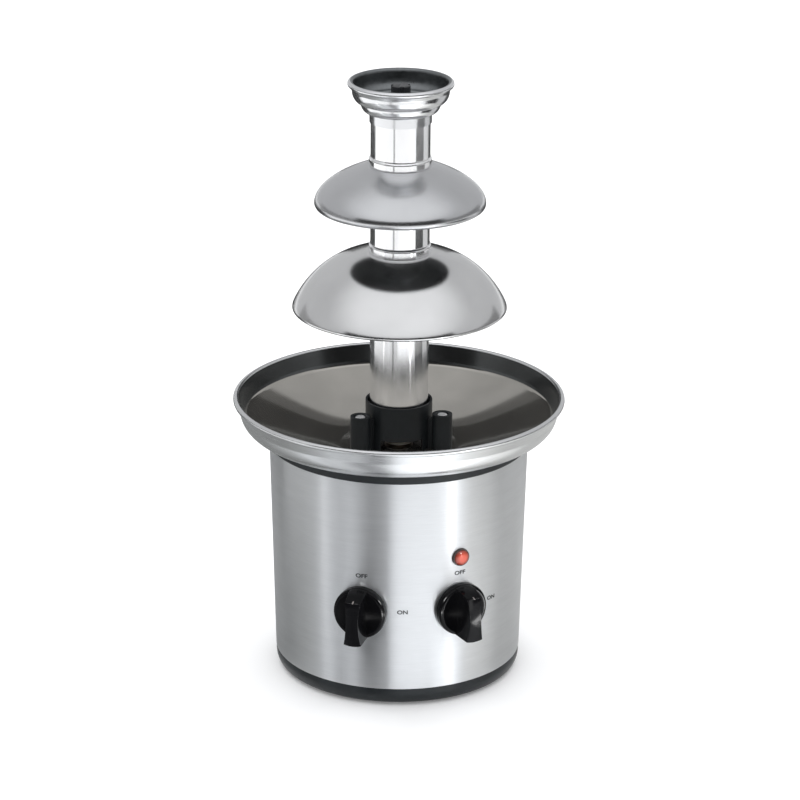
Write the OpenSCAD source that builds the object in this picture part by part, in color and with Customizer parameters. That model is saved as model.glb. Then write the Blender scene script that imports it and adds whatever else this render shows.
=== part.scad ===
// Three-tier chocolate fountain: heated bowl on a steel drum, lift-off tower, screw auger and gear motor.
// Millimetres, +Z up, front towards -Y. The origin is the centre of the footprint on the table.

/* [Feet and base] */
// Height that the rubber feet stand below the base ring
foot_h = 1.6; // [1:0.1:4]
// Diameter of a foot
foot_d = 14; // [8:0.5:20]
// Gap between a foot and the ledge of the base ring
foot_inset = 1.3; // [1:0.1:8]
// Visible height of the black base ring
base_ring_h = 10.8; // [7:0.1:16]
// How far the base ring draws in at its lower edge
base_tuck = 4; // [1:0.1:5]
// Thickness of the bottom plate
plate_t = 1.5; // [0.8:0.1:3]
// Number of vent slots in the bottom plate
vent_count = 12; // [6:1:18]

/* [Housing] */
// Height of the steel drum
shell_h = 142.6; // [132:0.1:160]
// Diameter of the drum at its lower edge
shell_bottom_d = 161; // [156:0.5:168]
// Diameter of the drum at its upper edge
shell_top_d = 168.4; // [162:0.2:176]
// Sheet thickness of the drum
shell_wall = 0.8; // [0.5:0.1:1.2]
// Visible height of the black ring between drum and bowl
top_ring_h = 6.8; // [4:0.1:12]
// How far the black ring stands out from the drum
top_ring_lip = 1; // [0.5:0.1:2]

/* [Bowl] */
// Diameter over the rim of the bowl
bowl_d = 215; // [200:1:230]
// Wall of the bowl
bowl_wall = 1.6; // [1:0.1:2]
// Height of the bowl's rounded side
bowl_side_h = 13.8; // [10:0.1:18]
// Height of the straight wall between the side and the centre of the rim bead
bowl_wall_h = 8; // [5:0.1:12]
// How far the straight wall leans out
bowl_lean = 3.4; // [1:0.1:5]
// Radius of the rolled rim bead
bowl_bead_r = 1.8; // [1.2:0.1:2.4]
// How far the floor of the bowl dips below its seat
bowl_dish = 11.4; // [8:0.1:14]

/* [Tower base] */
// Height of the collar above the bowl floor
collar_h = 30.4; // [26:0.1:38]
// Wall of the collar round the tube
collar_wall = 2.7; // [2.2:0.1:4]
// Height of the three inlets under the collar
inlet_h = 8; // [5:0.1:10]
// Width of an inlet
inlet_w = 27; // [20:0.5:28]
// Height of the three posts
post_h = 24.7; // [20:0.1:25]
// Diameter of a post
post_d = 13; // [11:0.1:15]
// Distance from the collar to the axis of a post
post_reach = 9; // [8:0.1:12]
// Diameter of a locating pin
pin_d = 6.4; // [4:0.1:7]

/* [Tower] */
// Outside diameter of the tubes
tube_d = 38; // [36:0.1:42]
// Wall of the tubes
tube_wall = 0.8; // [0.6:0.1:1]
// Height of the lower tier's neck above the bowl floor
lower_stage_h = 130.7; // [115:0.1:145]
// Distance from the lower tier's neck to the upper tier's neck
middle_stage_h = 57.3; // [50:0.1:70]
// Distance from the upper tier's neck to the underside of the crown
upper_stage_h = 34.4; // [28:0.1:50]
// Height of the socket at the foot of the middle and the upper tube
socket_h = 5.6; // [4:0.1:8]
// Diameter of the lower tier
lower_tier_d = 138; // [120:1:160]
// Height of the lower tier's dome
lower_tier_h = 37; // [28:0.1:46]
// Diameter of the upper tier
upper_tier_d = 109.6; // [95:1:120]
// Height of the upper tier's dome
upper_tier_h = 25.6; // [20:0.1:36]
// Sheet thickness of the tiers and the crown
tier_wall = 1; // [0.6:0.1:1.2]
// Diameter over the rim of the crown
crown_d = 67.6; // [62:0.2:76]
// Height of the crown's lower step
crown_step_h = 6.6; // [5:0.1:9]
// Height of the crown's upper step
crown_cup_h = 8; // [6:0.1:12]
// Height of the crown's lip above its upper step
crown_lip_h = 6; // [4:0.1:8]

/* [Auger] */
// Gap between the auger's flight and the tube
flight_gap = 1; // [0.6:0.1:1.6]
// Number of whole turns of the flight
flight_turns = 6; // [4:1:8]
// Thickness of the flight
flight_t = 2; // [1.4:0.1:3]
// Diameter of the auger's core
core_d = 11; // [9:0.1:14]
// Diameter of the finger knob at the top
finger_d = 12.5; // [11:0.1:16]
// How far the finger knob stays below the crown's rim
finger_drop = 3; // [1:0.1:8]

/* [Drive] */
// Diameter of the drive shaft
shaft_d = 8; // [6:0.1:9]
// Width across flats of the drive dog
dog_af = 11; // [10:0.1:12]
// Length of the drive dog
dog_h = 15; // [10:0.1:20]
// Tooth size (module) of the gear train
gear_module = 0.7; // [0.6:0.01:0.8]
// Thickness of the gears
gear_h = 7; // [5:0.1:8]
// Thickness of the motor bracket
bracket_t = 1.6; // [1.2:0.1:2.4]
// Thickness of the motor's lamination stack
stack_h = 16; // [12:0.5:22]
// Diameter of the rotor
rotor_d = 23.4; // [20:0.1:26]

/* [Heater] */
// Thickness of the heater plate
heater_plate_t = 4; // [3:0.1:5]
// Diameter of the tubular heating element
heater_tube_d = 6; // [5:0.1:7]

/* [Controls] */
// Height of the knobs' axes above the table
knob_z = 66.6; // [56:0.1:76]
// Angle of each knob and of the lamp from the front
knob_angle = 22.5; // [18:0.1:30]
// Diameter of a knob at its foot
knob_d = 34.4; // [30:0.1:38]
// Height of a knob
knob_h = 21; // [17:0.1:24]
// Width of a knob's grip bar
knob_bar_w = 8; // [7.6:0.1:11]
// Diameter of a switch spindle
spindle_d = 6; // [5:0.1:6.5]
// Distance from a knob's axis up to the lamp
lamp_rise = 35; // [30:0.1:44]
// Diameter of the lamp's bezel
lamp_d = 12; // [10:0.1:15]
// Height of the cord gland above the table
gland_z = 34; // [28:0.5:60]
// Bore of the cord gland
gland_bore_d = 7; // [5:0.1:8]

/* [Hidden] */
$fn = 96;

// Clearances: pieces of one body, moving fits, lift-off fits and free gaps
seat_gap = 0.1;
run_gap = 0.05;
lift_gap = 0.3;
free_gap = 1;
cut = 1;
tiny = 0.01;
arc_steps = 12;

// Colours
steel = "#c9ccce";
dark_steel = "#8b9092";
black = "#26292b";
gloss_black = "#101112";
brass = "#b08d57";
nylon = "#e6e2d6";

// Levels from the table up to the bowl
z_base = foot_h;
z_shell = z_base + base_ring_h;
z_ring = z_shell + shell_h;
z_seat = z_ring + top_ring_h;
z_under = z_seat - bowl_dish;
z_floor = z_under + bowl_wall;
z_side = z_seat + bowl_side_h;
z_rim = z_side + bowl_wall_h;

// Drum and base radii
shell_bottom_r = shell_bottom_d / 2;
shell_top_r = shell_top_d / 2;
function shell_r(z) = shell_bottom_r + (shell_top_r - shell_bottom_r) * (z - z_shell) / shell_h;
function shell_in(z) = shell_r(z) - shell_wall;

// Largest outside and smallest inside radius of the drum within a distance above and below a height
function shell_out_most(z, reach) = max(shell_r(z - reach), shell_r(z + reach));
function shell_in_least(z, reach) = min(shell_in(z - reach), shell_in(z + reach));
base_inset = 0.2;
base_ring_r = shell_bottom_r - base_inset;
base_tuck_h = base_ring_h * 0.7;
base_spigot_h = 7;
base_wall = 3;
ledge_w = 9;
ledge_t = 5;
ledge_r = base_ring_r - base_tuck - base_wall;
plate_r = ledge_r - seat_gap;
base_screw_r = plate_r - ledge_w / 2;
base_screw_d = 3.5;
base_screw_head_h = foot_h * 0.6;
screw_short = 0.5;
foot_plug_d = foot_d / 2;
foot_plug_grip = 1.5;
foot_plug_h = plate_t + foot_plug_grip;
foot_taper = 0.6;
foot_circle_r = ledge_r - ledge_w - foot_inset - foot_d / 2;
vent_w = 3;
vent_r = 26;
vent_margin = 5;
vent_l = foot_circle_r - foot_d / 2 - vent_margin - vent_r;

// Black ring between drum and bowl
top_ring_r = shell_top_r + top_ring_lip;
ring_skirt_h = 11;
ring_skirt_t = 3;
ring_skirt_r = min(shell_in(z_ring), shell_in(z_ring - ring_skirt_h)) - seat_gap;
ring_web_in_r = ring_skirt_r - ring_skirt_t;
boss_r = 4.5;
boss_inset = 3;
boss_circle_r = ring_web_in_r - boss_inset;
boss_h = 15;
boss_roof = 3;
bracket_screw_d = 3.5;

// Bowl
bowl_r = bowl_d / 2;
bowl_foot_r = top_ring_r;
seat_w = 4;
seat_in_r = bowl_foot_r - seat_w;
bead_stand_out = 1;
bowl_wall_r = bowl_r - bead_stand_out - bowl_lean;
bead_mid_r = bowl_r - bowl_bead_r;
BOWL_BEAD_ARC = [-60, 150];

// Tower base, pins and what hangs on them
tube_r = tube_d / 2;
tube_in_r = tube_r - tube_wall;
collar_r = tube_r + collar_wall;
post_circle_r = collar_r + post_reach;
flat_margin = 3;
bowl_flat_r = post_circle_r + post_d / 2 + flat_margin;
POST_ANGLES = [60, 180, 300];
tube_step = 4;
tube_lift = inlet_h + tube_step;
z_tube = z_floor + tube_lift;
collar_mouth_h = 8;
collar_mouth_gap = 1.5;
web_t = 4;
web_drop = 4;
pin_top_drop = 0.3;
pin_mouth_h = 1;
pin_mouth_w = 0.7;
pin_chamfer = 0.5;
pin_play = 1;
pin_bore_d = pin_d + pin_play;
pin_mouth_d = pin_bore_d + 2 * pin_mouth_w;
pin_tail = 1;
nut_h = 4.4;
nut_af = pin_d + 4;
heater_plate_r = bowl_flat_r - free_gap;
z_plate_low = z_under - heater_plate_t;
z_nut_low = z_plate_low - nut_h;
pin_l = z_floor + post_h - pin_top_drop - z_nut_low + pin_tail;

// Shaft bush in the middle of the bowl
shaft_r = shaft_d / 2;
bush_wall = 2.8;
bush_r = shaft_r + bush_wall;
bush_flange_w = 2.4;
bush_flange_r = bush_r + bush_flange_w;
bush_flange_h = 1.5;
bush_nut_h = 4.6;
bush_nut_af = 2 * bush_r + 5;
bush_tail = 1.6;
seal_h = 2.4;
seal_lip_w = 2;
z_seal_top = z_floor + bush_flange_h + seal_h;
heater_hole_r = bush_nut_af / sqrt(3) + free_gap;
heater_ring_r = heater_hole_r + heater_tube_d / 2 + free_gap;
sensor_r = 7;
fuse_d = 4.6;
fuse_l = 13;
sensor_flange_h = 2;
heater_mouth = 10.8;
heater_open_angle = 2 * asin(heater_mouth / 2 / heater_ring_r);
heater_terminal_l = 3.5;

// Motor bracket, gear train and gearbox
z_bracket = z_ring - boss_h;
z_cover = z_bracket - bracket_t;
cover_t = 2;
z_case_top = z_cover - cover_t;
case_floor_t = 2;
case_wall = 2;
PINION_TEETH = 16;
WHEEL_TEETH = 56;
pressure_angle = 20;
tooth_tip = 0.8;
tooth_root = 1.05;
backlash = 0.1;
gear_distance = gear_module * (PINION_TEETH + WHEEL_TEETH) / 2;
wheel_tip_r = gear_module * (WHEEL_TEETH / 2 + tooth_tip);
pinion_tip_r = gear_module * (PINION_TEETH / 2 + tooth_tip);
case_in_r = wheel_tip_r + free_gap;
layer_gap = 2;
z_case = z_case_top - case_floor_t - 2 * gear_h - 3 * layer_gap;
z_layer_1 = z_case + case_floor_t + layer_gap;
z_layer_2 = z_layer_1 + gear_h + layer_gap;
train_angle = 30;
window_angle = 110;
idler_x = gear_distance;
rotor_x = 2 * gear_distance;
idler_pin_r = 2;
rotor_shaft_r = 2;
lug_r = 4;
lug_side = 15.5;
lug_back = 6;
LUGS = [[-case_in_r - case_wall - lug_r / 2 + 0.5, 0], [rotor_x - lug_back, lug_side],
    [rotor_x - lug_back, -lug_side]];
gearbox_screw_l = 12;
screw_r = 1.5;
screw_head_r = 2.8;
screw_head_h = 1.8;

// Motor
motor_drop = 10;
z_stack = z_case - motor_drop - stack_h;
rotor_r = rotor_d / 2;
stator_bore_r = rotor_r + lift_gap;
limb = 7;
stack_w = rotor_d + 2 * limb + 3;
stack_rim = 5;
stack_tail = 32;
stack_out = stator_bore_r + stack_rim;
stack_in = stator_bore_r + stack_tail;
window_w = stack_w - 2 * limb;
window_l = 14;
coil_t = 5;
coil_play = 0.5;
coil_w = window_w - 2 * coil_play;
bridge_drop = 8;
bridge_t = 2;
bridge_w = 12;
z_bridge = z_stack - bridge_drop - bridge_t;
motor_screw_y = stack_w / 2 - limb / 2;
spacer_wall = 1.7;

// Auger and drive dog
flight_r = tube_in_r - flight_gap;
core_r = core_d / 2;
hub_wall = 2.6;
hub_r = dog_af / sqrt(3) + hub_wall;
dog_cap = 1;
dog_rise = 0.6;
z_dog = z_seal_top + dog_rise;
z_auger = z_dog + dog_rise;
hub_roof_h = 5;
z_hub_top = z_dog + dog_h + lift_gap + hub_roof_h;
flight_steps = 24;
finger_r = finger_d / 2;
finger_h = 14;
finger_neck_h = 1;

// Tower levels
z_neck_1 = z_floor + lower_stage_h;
z_neck_2 = z_neck_1 + middle_stage_h;
z_crown = z_neck_2 + upper_stage_h;
z_cup = z_crown + crown_step_h;
z_lip = z_cup + crown_cup_h;
z_top = z_lip + crown_lip_h;
neck_w = 3;
neck_r = tube_r + neck_w;
LOWER_DOME = [2.9, 1.2];
UPPER_DOME = [1.24, 1.89];
socket_wall = 0.7;
socket_r = tube_r + lift_gap + socket_wall;
shoulder_t = 0.9;
tier_lip = 1.2;
crown_neck_h = 6;
crown_step_w = 6.5;
crown_step_r = tube_r + crown_step_w;
crown_lip_w = 2.8;
crown_cup_r = crown_d / 2 - crown_lip_w;
crown_neck_wall = 0.7;
CROWN_BEAD_ARC = [-80, 90];

// Controls on the drum wall
knob_gap = 0.4;
knob_base_r = shell_out_most(knob_z, knob_d / 2) + knob_gap;
switch_w = 24;
switch_l = 20;
switch_bush_wall = 1.8;
switch_face_r = sqrt(pow(shell_in_least(knob_z, switch_w / 2), 2) - pow(switch_w / 2, 2)) - 2 * seat_gap;
switch_bush_r = spindle_d / 2 + switch_bush_wall;
panel_nut_h = 2;
panel_nut_af = 2 * switch_bush_r + 4;
z_panel_nut = shell_out_most(knob_z, panel_nut_af / 2) + seat_gap;
knob_recess_r = panel_nut_af / sqrt(3) + free_gap;
knob_recess_h = z_panel_nut + panel_nut_h + free_gap - knob_base_r;
spindle_r = spindle_d / 2;
spindle_in = 7;
knob_face_t = 8;
spindle_out = knob_h - knob_face_t;
knob_disc_h = 5.6;
knob_edge_r = 2.2;
knob_bar_step = 0.3;
knob_waist_r = 75;
knob_crest_r = 60;
knob_crest_y = -3;
knob_slope_w = 5.2;
knob_slope_y = knob_d / 2 - knob_slope_w;
knob_slope_angle = atan(knob_slope_w / (knob_h - knob_disc_h));
lamp_z = knob_z + lamp_rise;
lamp_r = lamp_d / 2;
bezel_w = 0.8;
lens_r = lamp_r - bezel_w;
lens_h = 3.4;
bezel_h = 1.5;
lamp_step = 0.6;
lamp_body_r = lens_r - lamp_step;
lamp_body_l = 17;
lamp_face_r = shell_out_most(lamp_z, lamp_r) + seat_gap;
clip_w = 2.6;
clip_t = 1.2;
gland_wall = 2.4;
gland_r = gland_bore_d / 2 + gland_wall;
gland_flange_r = gland_r + gland_wall;
gland_flange_h = 2;
gland_face_r = shell_out_most(gland_z, gland_flange_r) + seat_gap;
gland_l = 12;
gland_nut_af = 2 * gland_r + 5;
gland_nut_h = 3.5;
gland_nut_face_r = sqrt(pow(shell_in_least(gland_z, gland_nut_af / 2), 2)
    - pow(gland_nut_af / sqrt(3), 2)) - seat_gap;
block_l = 34;
block_w = 16;
block_h = 12;
block_hole_d = 4;
block_hole_h = 6;
block_at = [-24, 24];

// Points of a quarter ellipse from [x + a, z] to [x, z + b], or the other way with negative radii
function quarter(x, z, a, b, steps = arc_steps) =
    [for (i = [0 : steps]) [x + a * cos(90 * i / steps), z + b * sin(90 * i / steps)]];

// Points of a round arc
function arc(x, z, r, from, to, steps = arc_steps) =
    [for (i = [0 : steps]) let (t = from + (to - from) * i / steps) [x + r * cos(t), z + r * sin(t)]];

function reversed(list) = [for (i = [len(list) - 1 : -1 : 0]) list[i]];

// Places children on the drum wall: x to the right, y up and z outwards, at a radius from the axis
module at_wall(angle, z, r = 0)
    rotate([0, 0, angle]) translate([0, -r, z]) rotate([90, 0, 0]) children();

// Places children at the three posts, which stand at 60 degrees either side of the front and at the back
module at_posts(z)
    for (a = POST_ANGLES) rotate([0, 0, a]) translate([0, -post_circle_r, z]) children();

module ring(r_out, r_in, h)
    difference() {
        cylinder(r = r_out, h = h);
        translate([0, 0, -cut]) cylinder(r = r_in, h = h + 2 * cut);
    }

module hex(af, h)
    cylinder(r = af / sqrt(3), h = h, $fn = 6);

module hex_nut(af, bore_r, h)
    difference() {
        hex(af, h);
        translate([0, 0, -cut]) cylinder(r = bore_r, h = h + 2 * cut);
    }

// Base

module rubber_feet()
    color(black) for (a = [45 : 90 : 315]) rotate([0, 0, a]) translate([foot_circle_r, 0, 0]) {
        cylinder(r1 = foot_d / 2 - foot_taper, r2 = foot_d / 2, h = foot_h);
        cylinder(r = foot_plug_d / 2, h = foot_h + foot_plug_h);
    }

module base_ring() {
    spigot_r = min(shell_in(z_shell), shell_in(z_shell + base_spigot_h)) - seat_gap;
    outline = concat(
        [[ledge_r, z_base]],
        reversed(quarter(base_ring_r - base_tuck, z_base + base_tuck_h, base_tuck, -base_tuck_h)),
        [[base_ring_r, z_shell],
         [spigot_r, z_shell],
         [spigot_r, z_shell + base_spigot_h],
         [spigot_r - base_wall, z_shell + base_spigot_h],
         [spigot_r - base_wall, z_base + plate_t + ledge_t],
         [ledge_r - ledge_w, z_base + plate_t + ledge_t],
         [ledge_r - ledge_w, z_base + plate_t],
         [ledge_r, z_base + plate_t]]);
    color(black) difference() {
        rotate_extrude() polygon(outline);
        for (a = [0 : 90 : 270]) rotate([0, 0, a]) translate([base_screw_r, 0, z_base])
            cylinder(d = base_screw_d + 2 * seat_gap, h = ledge_t + plate_t);
    }
}

module bottom_plate()
    color(dark_steel) difference() {
        translate([0, 0, z_base]) cylinder(r = plate_r, h = plate_t);
        for (a = [0 : 90 : 270]) rotate([0, 0, a]) {
            translate([base_screw_r, 0, 0]) cylinder(d = base_screw_d + 2 * seat_gap, h = z_shell);
            rotate([0, 0, 45]) translate([foot_circle_r, 0, 0])
                cylinder(d = foot_plug_d + 2 * seat_gap, h = z_shell);
        }
        for (i = [0 : vent_count - 1]) rotate([0, 0, (i + 0.5) * 360 / vent_count]) {
            translate([vent_r, -vent_w / 2, 0]) cube([vent_l, vent_w, z_shell]);
            translate([vent_r, 0, 0]) cylinder(d = vent_w, h = z_shell);
            translate([vent_r + vent_l, 0, 0]) cylinder(d = vent_w, h = z_shell);
        }
    }

module base_screws()
    color(steel) for (a = [0 : 90 : 270]) rotate([0, 0, a]) translate([base_screw_r, 0, z_base]) {
        translate([0, 0, -base_screw_head_h]) cylinder(d = 2 * base_screw_d, h = base_screw_head_h);
        cylinder(d = base_screw_d, h = plate_t + ledge_t - screw_short);
    }

// Housing

module housing_shell()
    color(steel) difference() {
        translate([0, 0, z_shell]) cylinder(r1 = shell_bottom_r, r2 = shell_top_r, h = shell_h);
        translate([0, 0, z_shell])
            cylinder(r1 = shell_bottom_r - shell_wall, r2 = shell_top_r - shell_wall, h = shell_h);
        for (a = [-knob_angle, knob_angle])
            at_wall(a, knob_z) cylinder(r = switch_bush_r + seat_gap, h = bowl_r);
        at_wall(knob_angle, lamp_z) cylinder(r = lamp_body_r + seat_gap, h = bowl_r);
        at_wall(180, gland_z) cylinder(r = gland_r + seat_gap, h = bowl_r);
    }

module top_ring() {
    round_r = top_ring_h / 6;
    outline = concat(
        [[ring_web_in_r, z_ring - ring_skirt_h],
         [ring_skirt_r, z_ring - ring_skirt_h],
         [ring_skirt_r, z_ring],
         [top_ring_r - round_r, z_ring]],
        arc(top_ring_r - round_r, z_ring + round_r, round_r, -90, 0, 4),
        [[top_ring_r, z_seat],
         [seat_in_r, z_seat],
         [seat_in_r, z_ring + top_ring_h / 2],
         [ring_web_in_r, z_ring]]);
    color(black) difference() {
        union() {
            rotate_extrude() polygon(outline);
            for (a = [0 : 120 : 240]) rotate([0, 0, a])
                translate([0, -boss_circle_r, z_bracket]) cylinder(r = boss_r, h = boss_h);
        }
        for (a = [0 : 120 : 240]) rotate([0, 0, a]) translate([0, -boss_circle_r, z_bracket - cut])
            cylinder(d = bracket_screw_d + 2 * seat_gap, h = boss_h - boss_roof + cut);
    }
}

// Bowl

module bowl() {
    outside = concat(
        [[bush_r + seat_gap, z_under],
         [bowl_flat_r, z_under],
         [seat_in_r, z_seat]],
        reversed(quarter(bowl_foot_r, z_side, bowl_wall_r - bowl_foot_r, z_seat - z_side)),
        arc(bead_mid_r, z_rim, bowl_bead_r, BOWL_BEAD_ARC[0], BOWL_BEAD_ARC[1]));
    inside = concat(
        quarter(bowl_foot_r, z_side, bowl_wall_r - bowl_wall - bowl_foot_r, z_seat + bowl_wall - z_side),
        [[bowl_flat_r, z_floor],
         [bush_r + seat_gap, z_floor]]);
    color("#9a9c9c") difference() {
        rotate_extrude() polygon(concat(outside, inside));
        at_posts(z_under - cut) cylinder(d = pin_d + 2 * seat_gap, h = bowl_wall + 2 * cut);
    }
}

module locating_pins()
    color(steel) at_posts(z_nut_low - pin_tail) rotate_extrude() polygon([
        [0, 0],
        [pin_d / 2, 0],
        [pin_d / 2, pin_l - pin_chamfer],
        [pin_d / 2 - pin_chamfer, pin_l],
        [0, pin_l]]);

module pin_nuts()
    color(steel) at_posts(z_nut_low) hex_nut(nut_af, pin_d / 2 + seat_gap, nut_h);

// Heater

module heater_plate()
    color("#b5b8ba") difference() {
        translate([0, 0, z_plate_low]) cylinder(r = heater_plate_r, h = heater_plate_t);
        translate([0, 0, z_plate_low - cut]) cylinder(r = heater_hole_r, h = heater_plate_t + 2 * cut);
        at_posts(z_plate_low - cut) cylinder(d = pin_d + 2 * seat_gap, h = heater_plate_t + 2 * cut);
    }

module heater_element() {
    z_mid = z_plate_low - heater_tube_d / 2;
    color("#6e6a66") rotate([0, 0, 90 + heater_open_angle / 2]) {
        translate([0, 0, z_mid]) rotate_extrude(angle = 360 - heater_open_angle)
            translate([heater_ring_r, 0]) circle(d = heater_tube_d, $fn = 32);
        for (a = [0, 360 - heater_open_angle]) rotate([0, 0, a]) translate([heater_ring_r, 0, z_mid])
            rotate([a == 0 ? 90 : -90, 0, 0])
                cylinder(d = heater_tube_d / 2, h = heater_terminal_l, $fn = 32);
    }
}

module thermostat()
    color("#d8d2c4") translate([0, -post_circle_r, z_plate_low]) mirror([0, 0, 1]) {
        cylinder(r = sensor_r, h = sensor_flange_h);
        cylinder(r = sensor_r - free_gap, h = nut_h);
    }

module thermal_fuse()
    color("#cfd2d4") rotate([0, 0, 120]) translate([-fuse_l / 2, -post_circle_r, z_plate_low - fuse_d / 2])
        rotate([0, 90, 0]) cylinder(d = fuse_d, h = fuse_l, $fn = 32);

// Shaft bearing in the bowl

module shaft_bush()
    color(brass) difference() {
        union() {
            translate([0, 0, z_under - bush_nut_h - bush_tail])
                cylinder(r = bush_r, h = bush_nut_h + bush_tail + bowl_wall + bush_flange_h);
            translate([0, 0, z_floor]) cylinder(r = bush_flange_r, h = bush_flange_h);
        }
        translate([0, 0, z_bracket]) cylinder(r = shaft_r + run_gap, h = z_seal_top - z_bracket);
    }

module bush_nut()
    color(brass) translate([0, 0, z_under - bush_nut_h])
        hex_nut(bush_nut_af, bush_r + seat_gap, bush_nut_h);

module shaft_seal()
    color("#c9c4b8") translate([0, 0, z_floor + bush_flange_h]) difference() {
        cylinder(r1 = bush_flange_r, r2 = shaft_r + seal_lip_w, h = seal_h);
        translate([0, 0, -cut]) cylinder(r = shaft_r + run_gap, h = seal_h + 2 * cut);
    }

// Motor bracket and gearbox

module train() rotate([0, 0, train_angle]) children();

// Outline of the gearbox at a distance outside the gears
module case_outline(extra)
    hull() {
        circle(r = case_in_r + extra);
        translate([idler_x, 0]) circle(r = case_in_r + extra);
        translate([rotor_x, 0]) circle(r = pinion_tip_r + free_gap + extra);
    }

module motor_bracket() {
    plate_out_r = shell_in(z_bracket) - 2 * free_gap;
    window_in_r = post_circle_r + 2 * free_gap;
    window_out_r = boss_circle_r - 2 * boss_r;
    window_mid_r = (window_in_r + window_out_r) / 2;
    color(dark_steel) difference() {
        translate([0, 0, z_cover]) cylinder(r = plate_out_r, h = bracket_t);
        translate([0, 0, z_cover - cut]) cylinder(r = shaft_r + free_gap, h = bracket_t + 2 * cut);
        for (a = [0 : 120 : 240]) rotate([0, 0, a]) translate([0, -boss_circle_r, z_cover - cut])
            cylinder(d = bracket_screw_d + 2 * seat_gap, h = bracket_t + 2 * cut);
        train() for (p = LUGS) translate([p.x, p.y, z_cover - cut])
            cylinder(r = screw_r + seat_gap, h = bracket_t + 2 * cut);
        train() for (a = [-window_angle, window_angle]) rotate([0, 0, a])
            translate([window_mid_r, 0, z_cover - cut])
                cylinder(d = window_out_r - window_in_r, h = bracket_t + 2 * cut);
    }
}

module bracket_screws()
    color(steel) for (a = [0 : 120 : 240]) rotate([0, 0, a]) translate([0, -boss_circle_r, z_cover]) {
        translate([0, 0, -screw_head_h]) cylinder(r = bracket_screw_d, h = screw_head_h);
        cylinder(d = bracket_screw_d, h = bracket_t + boss_h - boss_roof - free_gap);
    }

module gearbox_cover()
    color(dark_steel) train() difference() {
        translate([0, 0, z_case_top]) linear_extrude(cover_t) union() {
            case_outline(case_wall);
            for (p = LUGS) translate(p) circle(r = lug_r);
        }
        translate([0, 0, z_case_top - cut]) cylinder(r = shaft_r + run_gap, h = cover_t + 2 * cut);
        translate([idler_x, 0, z_case_top - cut])
            cylinder(r = idler_pin_r + seat_gap, h = cover_t + 2 * cut);
        for (p = LUGS) translate([p.x, p.y, z_case_top - cut])
            cylinder(r = screw_r + seat_gap, h = cover_t + 2 * cut);
    }

module gearbox_case()
    color(dark_steel) train() difference() {
        translate([0, 0, z_case]) linear_extrude(z_case_top - z_case) union() {
            case_outline(case_wall);
            for (p = LUGS) translate(p) circle(r = lug_r);
        }
        translate([0, 0, z_case + case_floor_t]) linear_extrude(z_case_top - z_case) case_outline(0);
        translate([0, 0, z_case - cut]) cylinder(r = shaft_r + run_gap, h = case_floor_t + 2 * cut);
        translate([idler_x, 0, z_case - cut])
            cylinder(r = idler_pin_r + seat_gap, h = case_floor_t + 2 * cut);
        translate([rotor_x, 0, z_case - cut])
            cylinder(r = rotor_shaft_r + run_gap, h = case_floor_t + 2 * cut);
        for (p = LUGS) translate([p.x, p.y, z_case + case_floor_t])
            cylinder(r = screw_r + seat_gap, h = z_case_top - z_case);
        for (s = [-1, 1]) translate([rotor_x, s * motor_screw_y, z_case - cut])
            cylinder(r = screw_r + seat_gap, h = case_floor_t + 2 * cut);
    }

module gearbox_screws()
    color(steel) train() for (p = LUGS) translate([p.x, p.y, 0]) {
        translate([0, 0, z_bracket]) cylinder(r = screw_head_r, h = screw_head_h);
        translate([0, 0, z_case_top - gearbox_screw_l])
            cylinder(r = screw_r, h = gearbox_screw_l + cover_t + bracket_t);
    }

module idler_pin()
    color(steel) train() translate([idler_x, 0, z_case]) cylinder(r = idler_pin_r, h = z_cover - z_case);

// Gears: half angle of a tooth at a radius, from the involute of the base circle
function involute(a) = tan(a) * 180 / PI - a;
function tooth_half(n, r) =
    let (pitch_r = gear_module * n / 2, base_r = pitch_r * cos(pressure_angle))
    90 / n - backlash / 2 / pitch_r * 180 / PI + involute(pressure_angle)
        - involute(acos(min(1, base_r / max(r, base_r))));

function polar(r, a) = [r * cos(a), r * sin(a)];

module gear_outline(n) {
    pitch_r = gear_module * n / 2;
    root_r = pitch_r - gear_module * tooth_root;
    tip_r = pitch_r + gear_module * tooth_tip;
    foot_r = max(root_r, pitch_r * cos(pressure_angle)) + tiny;
    radii = [root_r, foot_r, pitch_r, (pitch_r + tip_r) / 2, tip_r];
    polygon([for (k = [0 : n - 1]) each concat(
        [for (r = radii) polar(r, k * 360 / n - tooth_half(n, r))],
        [for (r = reversed(radii)) polar(r, k * 360 / n + tooth_half(n, r))])]);
}

module gear(n, bore_r, h)
    difference() {
        linear_extrude(h) gear_outline(n);
        translate([0, 0, -cut]) cylinder(r = bore_r, h = h + 2 * cut);
    }

module motor_pinion()
    color(brass) train() translate([rotor_x, 0, z_layer_1]) rotate([0, 0, 180 / PINION_TEETH])
        gear(PINION_TEETH, rotor_shaft_r + run_gap / 2, gear_h);

module idler_gear()
    color(nylon) train() translate([idler_x, 0, z_layer_1]) difference() {
        union() {
            linear_extrude(gear_h) gear_outline(WHEEL_TEETH);
            rotate([0, 0, 180 / PINION_TEETH])
                linear_extrude(2 * gear_h + layer_gap) gear_outline(PINION_TEETH);
        }
        translate([0, 0, -cut]) cylinder(r = idler_pin_r + run_gap, h = 2 * gear_h + layer_gap + 2 * cut);
    }

module output_gear()
    color(nylon) train() translate([0, 0, z_layer_2]) gear(WHEEL_TEETH, shaft_r + run_gap / 2, gear_h);

// Motor

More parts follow.
